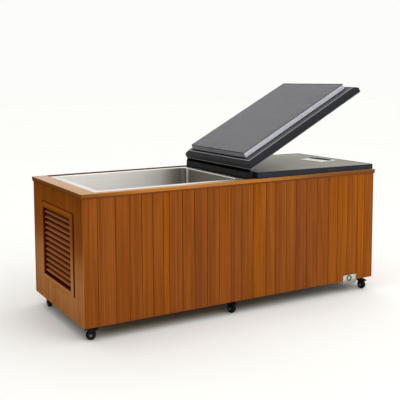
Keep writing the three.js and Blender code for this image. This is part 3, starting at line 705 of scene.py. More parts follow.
# Liner boards that turn into the wall, in the dark timber: painted shade in the opening.
frm.add(board(-XE - 0.2, -XE + 17.0, HOLE[0], HOLE[0] + 5.0, HOLE[2], HOLE[3], 0.6, 1), 2, 0.81, 0.5)
frm.add(board(-XE - 0.2, -XE + 17.0, HOLE[1] - 5.0, HOLE[1], HOLE[2], HOLE[3], 0.6, 1), 2, 0.87, 0.5)
frm.add(board(-XE - 0.2, -XE + 17.0, HOLE[0] + 5.1, HOLE[1] - 5.1, HOLE[3] - 5.0, HOLE[3], 0.6, 1), 3, 0.91, 0.4)
frm.add(board(-XE - 0.2, -XE + 17.0, HOLE[0] + 5.1, HOLE[1] - 5.1, HOLE[2], HOLE[2] + 5.0, 0.6, 1), 3, 0.97, 0.6)
frm.make("louvre_boards", [END[2], END[1], REVEAL_SHADE[2], REVEAL_SHADE[1]], "root", ["louvre_frame"], "plank_wood")

slats = Shape()
for i in range(12):
    zc = 255.0 + 30.67 * i
    pts = [(-959.0, zc - 11.0), (-955.5, zc - 14.5), (-935.8, zc + 4.0), (-938.6, zc + 6.6)]
    slats.add(prism(pts, OY[0] + 0.4, OY[1] - 0.4, "Y", 1.1, 3), 0, tone=0.5 + dice.uniform(-0.08, 0.08))
# uprights behind the slats, in the dark timber: painted shade
for y in (-140.0, 140.0):
    slats.add(board(-940.5, -936.6, y - 6, y + 6, 255.0, 255.0 + 30.67 * 11 + 4.0, 0.6, 1), 1, tone=0.3)
slats.make("louvre_blades", [SLAT, REVEAL_SHADE[2]], "root", ["louvre_slats"], "plank_wood")

# ===================================================================== basin
BX, BY = (-844.0, 0.0), (-310.0, 320.0)
FX, FY = (-883.4, 33.0), (-357.4, 338.4)
FLOOR = 128.0
TOP = ZR - 0.5


def ring(o, z, r=None):
    """Outline of the basin opening, grown by o."""
    return [(x, y, z) for x, y in rounded(BX[0] - o, BX[1] + o, BY[0] - o, BY[1] + o, max(24.0 + o if r is None else r, 1.0), 8, 10)]


def flange(o, z):
    return [(x, y, z) for x, y in rounded(FX[0] - o, FX[1] + o, FY[0] - o, FY[1] + o, max(4.0 + o, 1.2), 8, 10)]


rings = []
rings.append(ring(3.0 - 34.0, FLOOR - 3.0, 20.0))
rings += [ring(3.0 - 22.0 * (1 - math.sin(math.radians(a))), FLOOR - 3.0 + 22.0 * (1 - math.cos(math.radians(a)))) for a in (20, 45, 70, 90)]
rings.append(ring(3.0, TOP - 8.0))
rings.append(ring(5.5, TOP - 3.6))
rings.append(flange(-3.2, TOP - 3.0))
rings.append(flange(-2.6, TOP - 5.0))
rings.append(flange(-2.5, ZR - RT + 0.4))
rings.append(flange(-0.3, ZR - RT + 0.2))
rings.append(flange(0.0, ZR - RT + 1.0))
rings.append(flange(0.0, TOP - 2.0))
rings.append(flange(-0.6, TOP - 0.6))
rings.append(flange(-2.2, TOP))
top_at = len(rings)
rings.append(ring(4.2, TOP))
rings.append(ring(2.4, TOP - 0.35))
rings.append(ring(0.9, TOP - 1.4))
rings.append(ring(0.2, TOP - 3.0))
rings.append(ring(0.0, TOP - 5.2))
wall_at = len(rings)
rings.append(ring(0.0, 520.0))
rings.append(ring(0.0, 320.0))
rings += [ring(-19.0 * (1 - math.cos(math.radians(a))), FLOOR + 19.0 * (1 - math.sin(math.radians(a)))) for a in (0, 20, 45, 70, 90)]
rings.append(ring(-60.0, FLOOR, 20.0))
bm = loft(rings)
n = len(rings[0])
for i, f in enumerate(bm.faces):
    k = i // n
    f.material_index = 0 if wall_at - 1 <= k < len(rings) - 3 else 1
bmesh.ops.recalc_face_normals(bm, faces=bm.faces[:])
Shape().add(bm, None, 0.5, 0.5).make("basin_shell", [STEEL_WALL, STEEL_FLAT], "root", ["basin"], "stainless", 50.0)


def grate(y, z, mats, name, node, slots):
    s = Shape()
    rim = [(20.5, -7.6), (38.0, -7.6), (38.0, -5.2), (36.6, -4.0), (31.0, -3.2), (28.6, -1.9), (27.4, -1.2), (25.5, -2.6), (25.5, -4.6), (20.5, -4.6)]
    turn = Matrix.Translation((BX[1] - 7.8, y, z)) @ Matrix.Rotation(math.pi / 2, 4, "Y") @ Matrix.Scale(-1, 4, (0, 0, 1))
    s.add(mend(lathe(rim, 48, True)), 0, 0.3, 0.5, turn)
    s.add(lathe([(0, -6.0), (20.4, -6.0), (20.4, -4.8), (0, -4.8)], 40), 1, 0.3, 0.5, turn)
    for k in range(slots):
        a = 2 * math.pi * k / slots
        bar = board(6.5, 25.4, -1.3, 1.3, -4.7, -2.4, 0.5, 2)
        bar.transform(Matrix.Rotation(a, 4, "Z"))
        s.add(bar, 0, 0.4, 0.5, turn)
    s.add(lathe([(0, -4.7), (8.0, -4.7), (8.0, -2.4), (6.4, -1.5), (0, -1.1)], 32), 0, 0.4, 0.5, turn)
    s.add(lathe([(0, -7.6), (20.5, -7.6), (20.5, -69.5), (0, -69.5)], 32), 1, 0.4, 0.5, turn)
    ob = s.make(name, mats, "root", [node], None, 30.0)
    bm = bmesh.new()
    bm.from_mesh(ob.data)
    bmesh.ops.recalc_face_normals(bm, faces=bm.faces[:])
    bm.to_mesh(ob.data)
    bm.free()
    return ob


# A bright upright strip on that wall, without the wall's painted shade: a painted highlight.
Shape().add(board(BX[1] - 1.0, BX[1] + 0.2, 258.0, 284.0, 152.0, TOP - 6.0, 0.4, 2), 0, 0.5, 0.5).make("weld_seam", [SEAM_HIGHLIGHT], "root", (), "stainless", 50.0)

grate(-200.0, 178.0, [ZINC, BLACK], "outlet_grate", "basin_drain", 14)
grate(190.0, 560.0, [NYLON, BLACK], "jet_grate", "return_jet", 6)

# ==================================================================== covers


def pad(x0, x1, y0, y1, r, bottom, top, edge, step, side_mat, pull=0.0, under=0, skirt=0.0, rise=0.0):
    """A boxed pad: two panels on a grid, a gusset between them, round corners.
    skirt and rise slope the gusset in towards the lower panel.
    Returns vertices, faces, materials, and the loops where the seams run."""
    th = [math.radians(a) for a in (0, 22.5, 45, 67.5, 90)]

    def spread(length):
        mid = length - 2 * r
        k = max(4, round(mid / step))
        return k

    kx, ky = spread(x1 - x0), spread(y1 - y0)
    nx, ny = kx, ky + 8

    def at(i, j, d):
        """Grid point i, j of the outline drawn in by d."""
        u = i / nx
        if j <= 4:
            q = max(r - d, 1.5)
            c = (y0 + d + q * (1 - math.cos(th[j])), q * (1 - math.sin(th[j])))
        elif j >= ny - 4:
            q = max(r - d, 1.5)
            c = (y1 - d - q * (1 - math.cos(th[ny - j])), q * (1 - math.sin(th[ny - j])))
        else:
            q = max(r, d + 1.5)
            c = (y0 + q + (y1 - y0 - 2 * q) * (j - 4) / ky, 0.0)
        a, b = x0 + d + c[1], x1 - d - c[1]
        s = u
        return a + (b - a) * s, c[0]

    loop = [(i, 0) for i in range(nx + 1)] + [(nx, j) for j in range(1, ny + 1)] + [(i, ny) for i in range(nx - 1, -1, -1)] + [(0, j) for j in range(ny - 1, 0, -1)]
    V, F, M = [], [], []
    grid = {}

    def panel(key, z, flip, mat, d):
        for j in range(ny + 1):
            for i in range(nx + 1):
                x, y = at(i, j, d)
                grid[key, i, j] = len(V)
                V.append((x, y, z(x)))
        for j in range(ny):
            for i in range(nx):
                q = [grid[key, i, j], grid[key, i + 1, j], grid[key, i + 1, j + 1], grid[key, i, j + 1]]
                F.append(q[::-1] if flip else q)
                M.append(mat)

    panel("t", top, False, 0, edge)
    panel("b", bottom, True, under, skirt + 3.0 if skirt else edge)
    sides = [("t", None)]
    cuts = []
    for inset, frac in ((0.30 * edge, 0.30 * edge), (0.0, edge)):
        cuts.append((inset, "t", frac))
    cuts.append((pull * 0.8, "m", 0.28))
    cuts.append((pull, "m", 0.5))
    cuts.append((pull * 0.8, "m", 0.72))
    for inset, frac in ((0.0, rise), (skirt, 0.6)) if skirt else ((0.0, edge), (0.30 * edge, 0.30 * edge)):
        cuts.append((inset, "b", frac))
    loops = [[grid["t", i, j] for i, j in loop]]
    for inset, kind, frac in cuts:
        ids = []
        for i, j in loop:
            x, y = at(i, j, inset)
            if kind == "m" and pull:
                # the gusset draws in between the corners and stays out at them
                cx = min(1.0, min(abs(x - x0), abs(x1 - x)) / 90.0)
                cy = min(1.0, min(abs(y - y0), abs(y1 - y)) / 90.0)
                k = max(cx, cy) if (cx < 1e-9 or cy < 1e-9) else min(1.0, max(cx, cy))
                xf, yf = at(i, j, 0.0)
                x, y = xf + (x - xf) * k, yf + (y - yf) * k
            zt, zb = top(x), bottom(x)
            z = zt - frac if kind == "t" else zb + frac if kind == "b" else (zt - edge) + (zb + (rise or edge) - zt + edge) * frac
            ids.append(len(V))
            V.append((x, y, z))
        loops.append(ids)
    loops.append([grid["b", i, j] for i, j in loop])
    n = len(loop)
    for k in range(len(loops) - 1):
        for i in range(n):
            j = (i + 1) % n
            F.append([loops[k][j], loops[k][i], loops[k + 1][i], loops[k + 1][j]][::-1])
            M.append(side_mat if 1 <= k < len(loops) - 2 else under if k else 0)
    return np.array(V, float), F, M, loops


def swell(name, V, F, pins, pressure, cap, stiff=18.0, frames=20):
    """Cloth under pressure with the seams held. Returns the settled vertices."""
    me = bpy.data.meshes.new(name + "_sim")
    me.from_pydata([tuple(v * MM) for v in V], [], F)
    ob = bpy.data.objects.new(name + "_sim", me)
    bpy.context.scene.collection.objects.link(ob)
    g = ob.vertex_groups.new(name="pin")
    for i, w in pins.items():
        g.add([i], w, "REPLACE")
    mod = ob.modifiers.new("Cloth", "CLOTH")
    s = mod.settings
    s.quality = 6
    s.mass = 0.25
    s.tension_stiffness = s.compression_stiffness = stiff
    s.shear_stiffness = stiff * 0.5
    s.bending_stiffness = 4.0
    s.tension_damping = s.compression_damping = 12.0
    s.shear_damping = 10.0
    s.bending_damping = 3.0
    s.air_damping = 4.0
    s.vertex_group_mass = "pin"
    s.pin_stiffness = 1.0
    s.use_pressure = True
    s.uniform_pressure_force = pressure
    s.effector_weights.gravity = 0.0
    mod.collision_settings.use_collision = False
    mod.point_cache.frame_start = 1
    mod.point_cache.frame_end = frames
    sc = bpy.context.scene
    for fr in range(1, frames + 1):
        sc.frame_set(fr)
    dg = bpy.context.evaluated_depsgraph_get()
    ev = ob.evaluated_get(dg).to_mesh()
    W = np.empty(len(ev.vertices) * 3)
    ev.vertices.foreach_get("co", W)
    W = W.reshape(-1, 3) / MM
    ob.evaluated_get(dg).to_mesh_clear()
    sc.frame_set(1)
    bpy.data.objects.remove(ob, do_unlink=True)
    bpy.data.meshes.remove(me)
    d = W - V
    size = np.linalg.norm(d, axis=1, keepdims=True)
    d = d * np.where(size > 1e-9, cap * np.tanh(size / cap) / np.maximum(size, 1e-9), 1.0)
    return V + d


def creases(V, box, panel_z, amp, seed, reach=70.0, sign=1.0):
    """Small pulls that run in from the seams and slow waves over the panel."""
    x0, x1, y0, y1 = box
    out = V.copy()
    for i, (x, y, z) in enumerate(V):
        w = panel_z(x, y, z)
        if w <= 0.0:
            continue
        dx, dy = min(x - x0, x1 - x), min(y - y0, y1 - y)
        d = max(0.0, min(dx, dy))
        s = x if dy < dx else y
        fade = math.exp(-d / reach) * (1.0 - math.exp(-d / 7.0))
        pull = noise.noise(Vector((s / 21.0, seed + d / 160.0, seed * 1.7)))
        wide = noise.noise(Vector((x / 150.0, y / 150.0, seed + 9.0)))
        slant = noise.noise(Vector(((x + 0.6 * y) / 42.0, (y - 0.6 * x) / 190.0, seed + 4.0)))
        inner = 1.0 - math.exp(-d / 25.0)
        out[i, 2] += sign * w * amp * (1.5 * fade * pull + inner * (0.75 * wide + 0.35 * slant))
    return out


def hang(V):
    """From the closed lid to the raised lid."""
    R = np.array(Matrix.Rotation(OPEN, 3, "Y"))
    H = np.array(HINGE)
    return (V - H) @ R.T + H


def soft(name, V, F, M, mats, body, replaces, seed=0.5, sub=1):
    me = bpy.data.meshes.new(name)
    me.from_pydata([tuple(v * MM) for v in V], [], F)
    for mat in mats:
        me.materials.append(mat)
    me.polygons.foreach_set("material_index", M)
    me.polygons.foreach_set("use_smooth", [True] * len(F))
    me.update()
    ob = settle(bpy.data.objects.new(name, me), body, replaces)
    if sub:
        m = ob.modifiers.new("fine", "SUBSURF")
        m.levels = m.render_levels = sub
    return ob


LID = (-882.0, 34.0, -378.0, 378.0)
PLUG = (-838.0, -6.0, -304.0, 314.0)
lid_low = lambda x: ZR + 1.0
lid_high = lambda x: ZR + 45.0
flat_low = lambda x: ZR + 0.5
flat_high = lambda x: ZR + 36.5 - 6.0 * (x - FLAT_X[0]) / (FLAT_X[1] - FLAT_X[0])

# Raised half: the boxed pad.
V, F, M, loops = pad(LID[0] - 3, LID[1] - 1, LID[2] + 2, LID[3] - 1, 9.0, lid_low, lid_high, 5.0, 15.0, 1, 2.0, 2, 26.0, 15.0)
M = [3 if m == 1 and V[F[i]].mean(0)[0] > LID[1] - 4.0 else m for i, m in enumerate(M)]
pins = {i: 1.0 for k in (1, 2, 6, 7) for i in loops[k]}
inner = set()
for i, (x, y, z) in enumerate(V):
    if PLUG[0] - 6 < x < PLUG[1] + 6 and PLUG[2] - 6 < y < PLUG[3] + 6 and z < ZR + 3:
        pins[i] = 1.0
V = swell("lid", V, F, pins, 1.6, 4.0)
V = creases(V, LID, lambda x, y, z: 1.0 if z > lid_high(x) - 4.0 else 0.0, 1.6, 3.1)
V = creases(V, LID, lambda x, y, z: 0.5 if z < ZR + 2.5 and not (PLUG[0] - 4 < x < PLUG[1] + 4 and PLUG[2] - 4 < y < PLUG[3] + 4) else 0.0, 0.9, 5.7, 40.0)
V = hang(V)
soft("lid_cover", V, F, M, [VINYL_TOP, VINYL, VINYL_RIM, VINYL_END], "lid", ["lid_pad"])
lid_up = Vector((math.sin(OPEN), 0.0, math.cos(OPEN)))
# Welts along the lid's edges in the lighter welt vinyls: painted highlight lines.
welt = Shape()
welt.add(tube([V[i] for i in loops[1]], 2.3, lid_up), 0, 0.2, 0.5)
welt.add(tube([V[i] + 1.1 * np.array(lid_up) for i in loops[7]], 3.4, lid_up, 10, True, 0.5), 1, 0.2, 0.5)
welt.make("lid_welts", [WELT, LIT_WELT], "lid", (), "cover_vinyl", 60.0)

# The insulating plug on its underside, with a pale gusset round it.
plug_low = lambda x: ZR + 0.7 - 33.0
plug_high = lambda x: ZR + 0.6
V, F, M, loops = pad(PLUG[0] - 1, PLUG[1] + 0.5, PLUG[2], PLUG[3] + 1.0, 7.0, plug_low, plug_high, 4.0, 15.0, 1, 1.2)
pins = {i: 1.0 for k in (0, 1, 2, 6, 7) for i in loops[k]}
for i, (x, y, z) in enumerate(V):
    if z > ZR:
        pins[i] = 1.0
V = swell("plug", V, F, pins, 1.6, 3.0)
V[:, 2] = np.minimum(V[:, 2], ZR + 0.7)
V = creases(V, PLUG, lambda x, y, z: 1.0 if z < plug_low(x) + 3.0 else 0.0, 3.4, 8.3, 90.0)
deep = np.clip((ZR + 0.6 - V[:, 2]) / 33.0, 0.0, 1.0)          # the gussets lean in towards the face
V[:, 1] = 5.0 + (V[:, 1] - 5.0) * (1.0 - 0.010 * deep)
V[:, 0] = -422.0 + (V[:, 0] + 422.0) * (1.0 - 0.004 * deep)
V = hang(V)


def facing(V, f):
    a, b = V[f[2]] - V[f[0]], V[f[3]] - V[f[1]]
    n = np.cross(a, b)
    return n / max(np.linalg.norm(n), 1e-9)


# gussets not facing along Y take the darker gusset vinyl: painted shade
M = [2 if m == 1 and abs(facing(V, F[i])[1]) < 0.7 else m for i, m in enumerate(M)]
plug = soft("lid_plug_cover", V, F, M, [VINYL_UNDER, GUSSET, GUSSET_END], "lid", ["lid_plug"])
seam = Shape()
seam.add(tube([V[i] for i in loops[7]], 1.5, lid_up), 0, 0.2, 0.5)
# a flat black band round the plug's base: painted shadow
seam.add(tube([V[i] + 1.7 * np.array(lid_up) for i in loops[1]], 7.0, lid_up, 10, True, 0.12), 0, 0.2, 0.5)
seam.make("plug_welt", [BINDING], "lid", (), "cover_vinyl", 60.0)

# Flat half over the machinery bay.
FLAT = (FLAT_X[0], FLAT_X[1], COVER_Y[0], COVER_Y[1])
V, F, M, loops = pad(FLAT[0] + 2, FLAT[1] - 2, FLAT[2] - 8, FLAT[3] - 2, 9.0, flat_low, flat_high, 5.0, 15.0, 1, 1.6)
pins = {i: 1.0 for k in (1, 2, 6, 7) for i in loops[k]}
for i, (x, y, z) in enumerate(V):
    if z < ZR + 2:
        pins[i] = 1.0
V = swell("flat", V, F, pins, 1.6, 3.0)
V[:, 2] = np.maximum(V[:, 2], ZR + 0.5)
V = creases(V, FLAT, lambda x, y, z: min(1.0, max(0.0, max(abs(x - 800.0) - 85.0, abs(y + 29.0) - 130.0) / 40.0)) if z > flat_high(x) - 3.0 else 0.0, 1.7, 1.9)
soft("flat_cover", V, F, M, [VINYL_TOP, VINYL_FLAT], "root", ["flat_pad"])
FLAT_V = V
welt = Shape()
welt.add(tube([V[i] for i in loops[1]], 2.3, (0, 0, 1)), 0, 0.2, 0.5)
welt.add(tube([(V[i][0], V[i][1], V[i][2] + 1.4) for i in loops[7]], 1.9, (0, 0, 1)), 0, 0.2, 0.5)
welt.make("flat_welts", [VINYL_FLAT], "root", (), "cover_vinyl", 60.0)

# Spine between the two halves, and the flexible web that the lid folds on.
V, F, M, loops = pad(40.6, 84.6, -358.0, 360.0, 9.0, lambda x: ZR + 0.6, lambda x: ZR + 35.6, 4.0, 15.0, 0, 0.8)
V = creases(V, (40.0, 85.0, -359.0, 361.0), lambda x, y, z: 1.0 if z > ZR + 33.0 else 0.0, 0.8, 6.6, 30.0)
soft("spine_cover", V, F, M, [SPINE], "root", ["hinge_spine"])

low, high = Vector((49.0, 0.0, ZR + 34.4)), Vector((55.0, 0.0, ZR + 55.0))
wv, wf = [], []
rows, cols = 9, 60
for side in (0, 1):
    for a in range(rows):
        t = a / (rows - 1)
        c = low.lerp(high, t)
        for b in range(cols + 1):
            y = -366.0 + 732.0 * b / cols
            ripple = 0.7 * math.sin(math.pi * t) * noise.noise(Vector((y / 34.0, t * 2.0, 2.2)))
            belly = 1.6 * math.sin(math.pi * t)
            wv.append((c.x + belly + ripple + (1.1 if side else -1.1), y, c.z))
n0 = rows * (cols + 1)
for a in range(rows - 1):
    for b in range(cols):
        q = [a * (cols + 1) + b, a * (cols + 1) + b + 1, (a + 1) * (cols + 1) + b + 1, (a + 1) * (cols + 1) + b]
        wf.append(q)
        wf.append([n0 + i for i in q[::-1]])
rim = [b for b in range(cols + 1)] + [a * (cols + 1) + cols for a in range(1, rows)] + [(rows - 1) * (cols + 1) + b for b in range(cols - 1, -1, -1)] + [a * (cols + 1) for a in range(rows - 2, 0, -1)]
for i, a in enumerate(rim):
    b = rim[(i + 1) % len(rim)]
    wf.append([b, a, n0 + a, n0 + b])
bm = fresh(wv, wf)
bmesh.ops.recalc_face_normals(bm, faces=bm.faces[:])
web = Shape().add(bm, 0, 0.5, 0.5).make("fold_web", [BINDING], None, ["hinge_web"], "cover_vinyl", 60.0)
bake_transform(web)

# Pale patch on the flat half, and the grab strap across it.


def flat_z(x, y):
    d = (FLAT_V[:, 0] - x) ** 2 + (FLAT_V[:, 1] - y) ** 2 + np.where(FLAT_V[:, 2] > ZR + 24, 0.0, 1e9)
    k = np.argsort(d)[:6]
    w = 1.0 / (d[k] + 20.0)
    return float((FLAT_V[k, 2] * w).sum() / w.sum())


SKEW = math.radians(8.0)


def askew(x, y):
    """A place on the patch: along its own two sides, from its middle."""
    return 790.0 + x * math.cos(SKEW) - y * math.sin(SKEW), -52.0 + x * math.sin(SKEW) + y * math.cos(SKEW)


rings = []
for o, h in ((0.0, -1.5), (0.0, 1.5), (-0.5, 2.0), (-1.4, 2.2), (-5.0, 2.1), (-6.0, 1.7), (-7.0, 2.1), (-18.0, 2.2), (-36.0, 2.2), (-54.0, 2.2)):
    line = [askew(x, y) for x, y in rounded(-75.0 - o, 75.0 + o, -92.0 - o, 92.0 + o, max(9.0 + o, 2.0), 6, 12)]
    rings.append([(x, y, flat_z(x, y) + h) for x, y in line])
bm = loft(rings)
bmesh.ops.recalc_face_normals(bm, faces=bm.faces[:])
patch = Shape().add(bm, 0, 0.5, 0.5).make("cover_patch", [PATCH], "root", (), "cover_vinyl", 60.0)

# The first bar lies flat on the patch under the strap, in black binding: painted shadow. The second is the strap.
bars = []
for half, floor_z, thick, arch in ((13.6, 3.2, 1.0, 0.0), (13.0, 4.2, 1.8, 1.6)):
    rings = []
    for i in range(29):
        v = 84.0 * (1.0 - 2.0 * i / 28)
        lift = arch * math.sin(math.pi / 2 * max(0.0, min(1.0, (64.0 - abs(v)) / 20.0))) ** 2
        row = []
        for a, b in ((-1.0, 0.0), (-1.03, 0.4), (-1.0, 0.8), (-0.7, 0.95), (0.0, 1.0), (0.7, 0.95), (1.0, 0.8), (1.03, 0.4), (1.0, 0.0), (0.0, -0.05)):
            x, y = askew(32.0 + a * half, v)
            row.append((x, y, flat_z(*askew(32.0, v)) + floor_z + lift + b * thick))
        rings.append(row)
    bm = loft(rings)
    bmesh.ops.recalc_face_normals(bm, faces=bm.faces[:])
    bars.append(bm)
Shape().add(bars[0], 0, 0.5, 0.5).make("strap_backing", [BINDING], "root", (), "strap_web", 50.0)
strap = Shape().add(bars[1], 0, 0.5, 0.5).make("grab_strap", [STRAP], "root", ["cover_handle"], "strap_web", 50.0)
sew = Shape()
for va, vb in ((-81.0, -66.0), (66.0, 81.0)):
    q = [(*askew(u, v), flat_z(*askew(32.0, v)) + 6.2) for u, v in ((23.0, va), (41.0, va), (41.0, vb), (23.0, vb))]
    sew.add(stitches(q, (0, 0, 1), 4.0, 2.8, 0.4), 0)
    sew.add(stitches([q[0], q[2]], (0, 0, 1), 4.0, 2.8, 0.4, False), 0)
    sew.add(stitches([q[1], q[3]], (0, 0, 1), 4.0, 2.8, 0.4, False), 0)
sew.make("strap_stitches", [BINDING], "root", (), "strap_web", 60.0)

# ===================================================================== drain
PY = -YE + 5.0
plate = Shape()
bm = prism([(x, z) for x, z in rounded(731.8, 841.2, 54.0, 116.4, 2.0, 4)], PY, PY + 3.0, "Y", 0.5, 2)
plate.add(bm, 0, 0.5, 0.5)
for x, z in ((740.0, 108.0), (833.0, 108.0), (740.0, 66.0), (833.0, 66.0)):
    turn = Matrix.Translation((x, PY, z)) @ Matrix.Rotation(math.pi / 2, 4, "X") @ Matrix.Rotation(dice.uniform(0, 1.5), 4, "Z")
    head, cross = screw(3.6, 1.5)
    plate.add(head, 0, 0.4, 0.5, turn)
    for c in cross:
        plate.add(c, 1, 0.4, 0.5, turn)
plate.add(board(732.0, 841.0, PY - 0.9, PY - 0.2, 111.5, 116.6, 0.2, 1), 2, 0.5, 0.4)
plate.make("drain_cover", [PLATE, BLACK, REVEAL_SHADE[0]], "root", ["drain_plate"], "stainless", 40.0)

DX, DZ = 781.0, 91.0
turn = Matrix.Translation((DX, 0.0, DZ))
drain = Shape()
bm = lathe([(13.2, -YE + 1.2), (14.0, -YE + 0.2), (16.6, -YE), (18.0, -YE + 0.6), (18.5, -YE + 1.8), (18.5, PY - 1.0), (18.0, PY - 0.4), (15.5, PY - 0.3), (15.5, PY + 19.0), (13.2, PY + 19.0)], 56, True, "Y")
drain.add(bm, 0, 0.5, 0.5, turn)
drain.make("drain_ring", [BRONZE], "root", ["drain_outlet"], "stainless", 40.0)
cock = Shape()
bm = lathe([(0, PY + 2.0), (5.6, PY + 2.0), (6.4, PY + 2.8), (6.5, PY + 13.0), (8.0, PY + 14.2), (12.2, PY + 14.3), (12.8, PY + 14.8), (12.8, PY + 18.0), (0, PY + 18.0)], 40, False, "Y")
cock.add(bm, 0, 0.5, 0.5, turn)
cock.add(board(DX - 5.4, DX + 5.4, PY + 1.7, PY + 2.2, DZ - 1.3, DZ + 1.3, 0.2, 1), 1, 0.5, 0.5)
cock.make("drain_key", [BRONZE, ZINC], "cock", ["drain_cock"], "black_plastic", 40.0)

# =================================================================== casters
TRAIL, WR, WW = 20.0, 26.0, 22.0
CASTERS = [("fl", -894, -353, 158, True), ("fc", -64, -329, -78, True), ("fr", 905, -341, -78, True),
           ("bl", -916, 315, 268, False), ("bc", -64, 325, -70, False), ("br", 905, 325, -75, False)]
LEG = [(-15, 57), (-13, 62.5), (26, 62.5), (31, 60.8), (32, 57), (31, 48), (29, 40), (28, 30), (TRAIL + 7, 21), (TRAIL + 3, 18.5), (TRAIL - 3, 18.5),
       (TRAIL - 7, 22), (TRAIL - 8.5, 30), (TRAIL - 14, 40), (2, 47), (-8, 52)]
for key, x, y, heading, braked in CASTERS:
    at = Matrix.Translation((x, y, 0))
    spin = at @ Matrix.Rotation(math.radians(heading), 4, "Z")
    s = Shape()
    s.add(prism(rounded(-29, 29, -25, 25, 5.0, 5), ZB - 3.3, ZB - 0.3, "Z", 0.6, 2), 0, 0.3, 0.5, at)
    s.add(lathe([(0, 64.9), (15.4, 64.9), (17, 66.2), (17, 67.6), (16.2, 68.2), (16.2, 69.2), (17.0, 69.8), (17.0, 71.4), (19.5, 72.9), (0, 72.9)], 40), 0, 0.3, 0.5, at)
    for bx, by in ((-22, -18.5), (22, -18.5), (-22, 18.5), (22, 18.5)):
        h = hexagon(4.6, ZB - 6.4, ZB - 3.2, 0.5)
        s.add(h, 1, 0.3, 0.5, at @ Matrix.Translation((bx, by, 0)) @ Matrix.Rotation(dice.uniform(0, 1), 4, "Z"))
    s.make("caster_mount_" + key, [BLACK, BOLT], "root", ["caster_plate_" + key], "black_metal", 40.0)

    s = Shape()
    s.add(lathe([(0, 56.9), (18.2, 56.9), (19.0, 58.0), (19.0, 61.8), (17.6, 63.8), (14.0, 64.7), (0, 64.7)], 40), 0, 0.3, 0.5, spin)
    s.add(board(-14, 23, -15.4, 15.4, 55.6, 58.6, 1.0, 2), 0, 0.3, 0.5, spin)
    for a, b in ((-15.5, -13.0), (13.0, 15.5)):
        s.add(prism(LEG, a, b, "Y", 0.7, 2), 0, 0.3, 0.5, spin)
    axle = spin @ Matrix.Translation((TRAIL, 0, WR))
    s.add(lathe([(0, -15), (4, -15), (4, 15), (0, 15)], 20, False, "Y"), 1, 0.3, 0.5, axle)
    for side in (-1, 1):
        nut = hexagon(6.4, 15.4, 18.6, 0.6)
        nut.transform(Matrix.Rotation(-side * math.pi / 2, 4, "X"))
        s.add(nut, 1, 0.3, 0.5, axle)
        w = lathe([(0, 15.2), (7.4, 15.2), (7.4, 16.2), (0, 16.2)], 28)
        w.transform(Matrix.Rotation(-side * math.pi / 2, 4, "X"))
        s.add(w, 1, 0.3, 0.5, axle)
        tip = lathe([(0, 18.4), (3.6, 18.4), (3.6, 19.6), (2.9, 20.3), (0, 20.4)], 20)
        tip.transform(Matrix.Rotation(-side * math.pi / 2, 4, "X"))
        s.add(tip, 1, 0.3, 0.5, axle)
    s.make("caster_yoke_" + key, [BLACK, BOLT], "swivel_" + key, ["caster_fork_" + key], "black_metal", 40.0)

    s = Shape()
    tread = [(20.6, -9.6), (22.4, -10.8), (24.2, -10.6), (25.4, -9.2), (25.9, -6.0), (26.0, 0.0), (25.9, 6.0), (25.4, 9.2), (24.2, 10.6), (22.4, 10.8), (20.6, 9.6)]
    hub = [(4.3, -10.5), (8.6, -10.5), (9.2, -9.8), (9.6, -7.4), (11.0, -6.6), (17.6, -6.6), (19.2, -7.4), (19.8, -8.6), (20.7, -9.0), (20.7, 9.0), (19.8, 8.6), (19.2, 7.4),
           (17.6, 6.6), (11.0, 6.6), (9.6, 7.4), (9.2, 9.8), (8.6, 10.5), (4.3, 10.5)]
    s.add(lathe(tread, 56, True, "Y"), 0, 0.3, 0.5, axle)
    s.add(lathe(hub, 48, True, "Y"), 1, 0.3, 0.5, axle)
    for k in range(5):
        for side in (-1, 1):
            rib = board(9.4, 19.4, -1.0, 1.0, 6.2, 8.6, 0.4, 1)
            rib.transform(Matrix.Rotation(2 * math.pi * k / 5, 4, "Z"))
            rib.transform(Matrix.Rotation(-side * math.pi / 2, 4, "X"))
            s.add(rib, 1, 0.3, 0.5, axle)
    s.make("caster_roller_" + key, [RUBBER, NYLON], "wheel_" + key, ["caster_wheel_" + key], "caster_rubber", 40.0)

    if braked:
        s = Shape()
        s.add(prism([(25, 56.5), (33, 55.5), (46, 51.5), (51, 51.5), (51.5, 54), (46, 58), (36, 62), (26, 62)], -12.4, 12.4, "Y", 1.0, 3), 0, 0.3, 0.5, spin)
        for k in range(4):
            t = k / 3
            r = board(-1.0, 1.0, -10.0, 10.0, -0.6, 0.7, 0.35, 2)
            s.add(r, 0, 0.3, 0.5, spin @ Matrix.Translation((38.0 + 11.0 * t, 0, 61.3 - 6.0 * t)) @ Matrix.Rotation(math.radians(30), 4, "Y"))
        s.make("caster_brake_" + key, [NYLON], "pedal_" + key, ["brake_pedal_" + key], "black_metal", 40.0)

# ============================================== finish on the nodes that stay
slots = frame["record"].get("materials") or {}
for name, ob in frame["nodes"].items():
    if not hasattr(ob, "data") or ob.data is None:
        ob = bpy.data.objects.get(name)
    if ob is None:
        continue
    for ms in ob.material_slots:
        base = (ms.material.name if ms.material else "").split(".")[0]
        hit = next((v for k, v in BY_SLOT.items() if base == k or base.endswith(k)), None)
        ms.material = BITUMEN if name == "base_board" else hit or BLACK

# ============================================================ floor and light
bm = bmesh.new()
bmesh.ops.create_grid(bm, x_segments=8, y_segments=8, size=30.0)
me = bpy.data.meshes.new("floor")
bm.to_mesh(me)
bm.free()
floor = bpy.data.objects.new("floor", me)
bpy.context.scene.collection.objects.link(floor)
f = Finish("studio_floor", Specular_IOR_Level=0.1)
haze = f.noise(f.coord, 0.8, 3.0, 0.5)
paint = f.ramp(haze, [(0.3, (0.905, 0.905, 0.89)), (0.7, (0.92, 0.92, 0.905))])
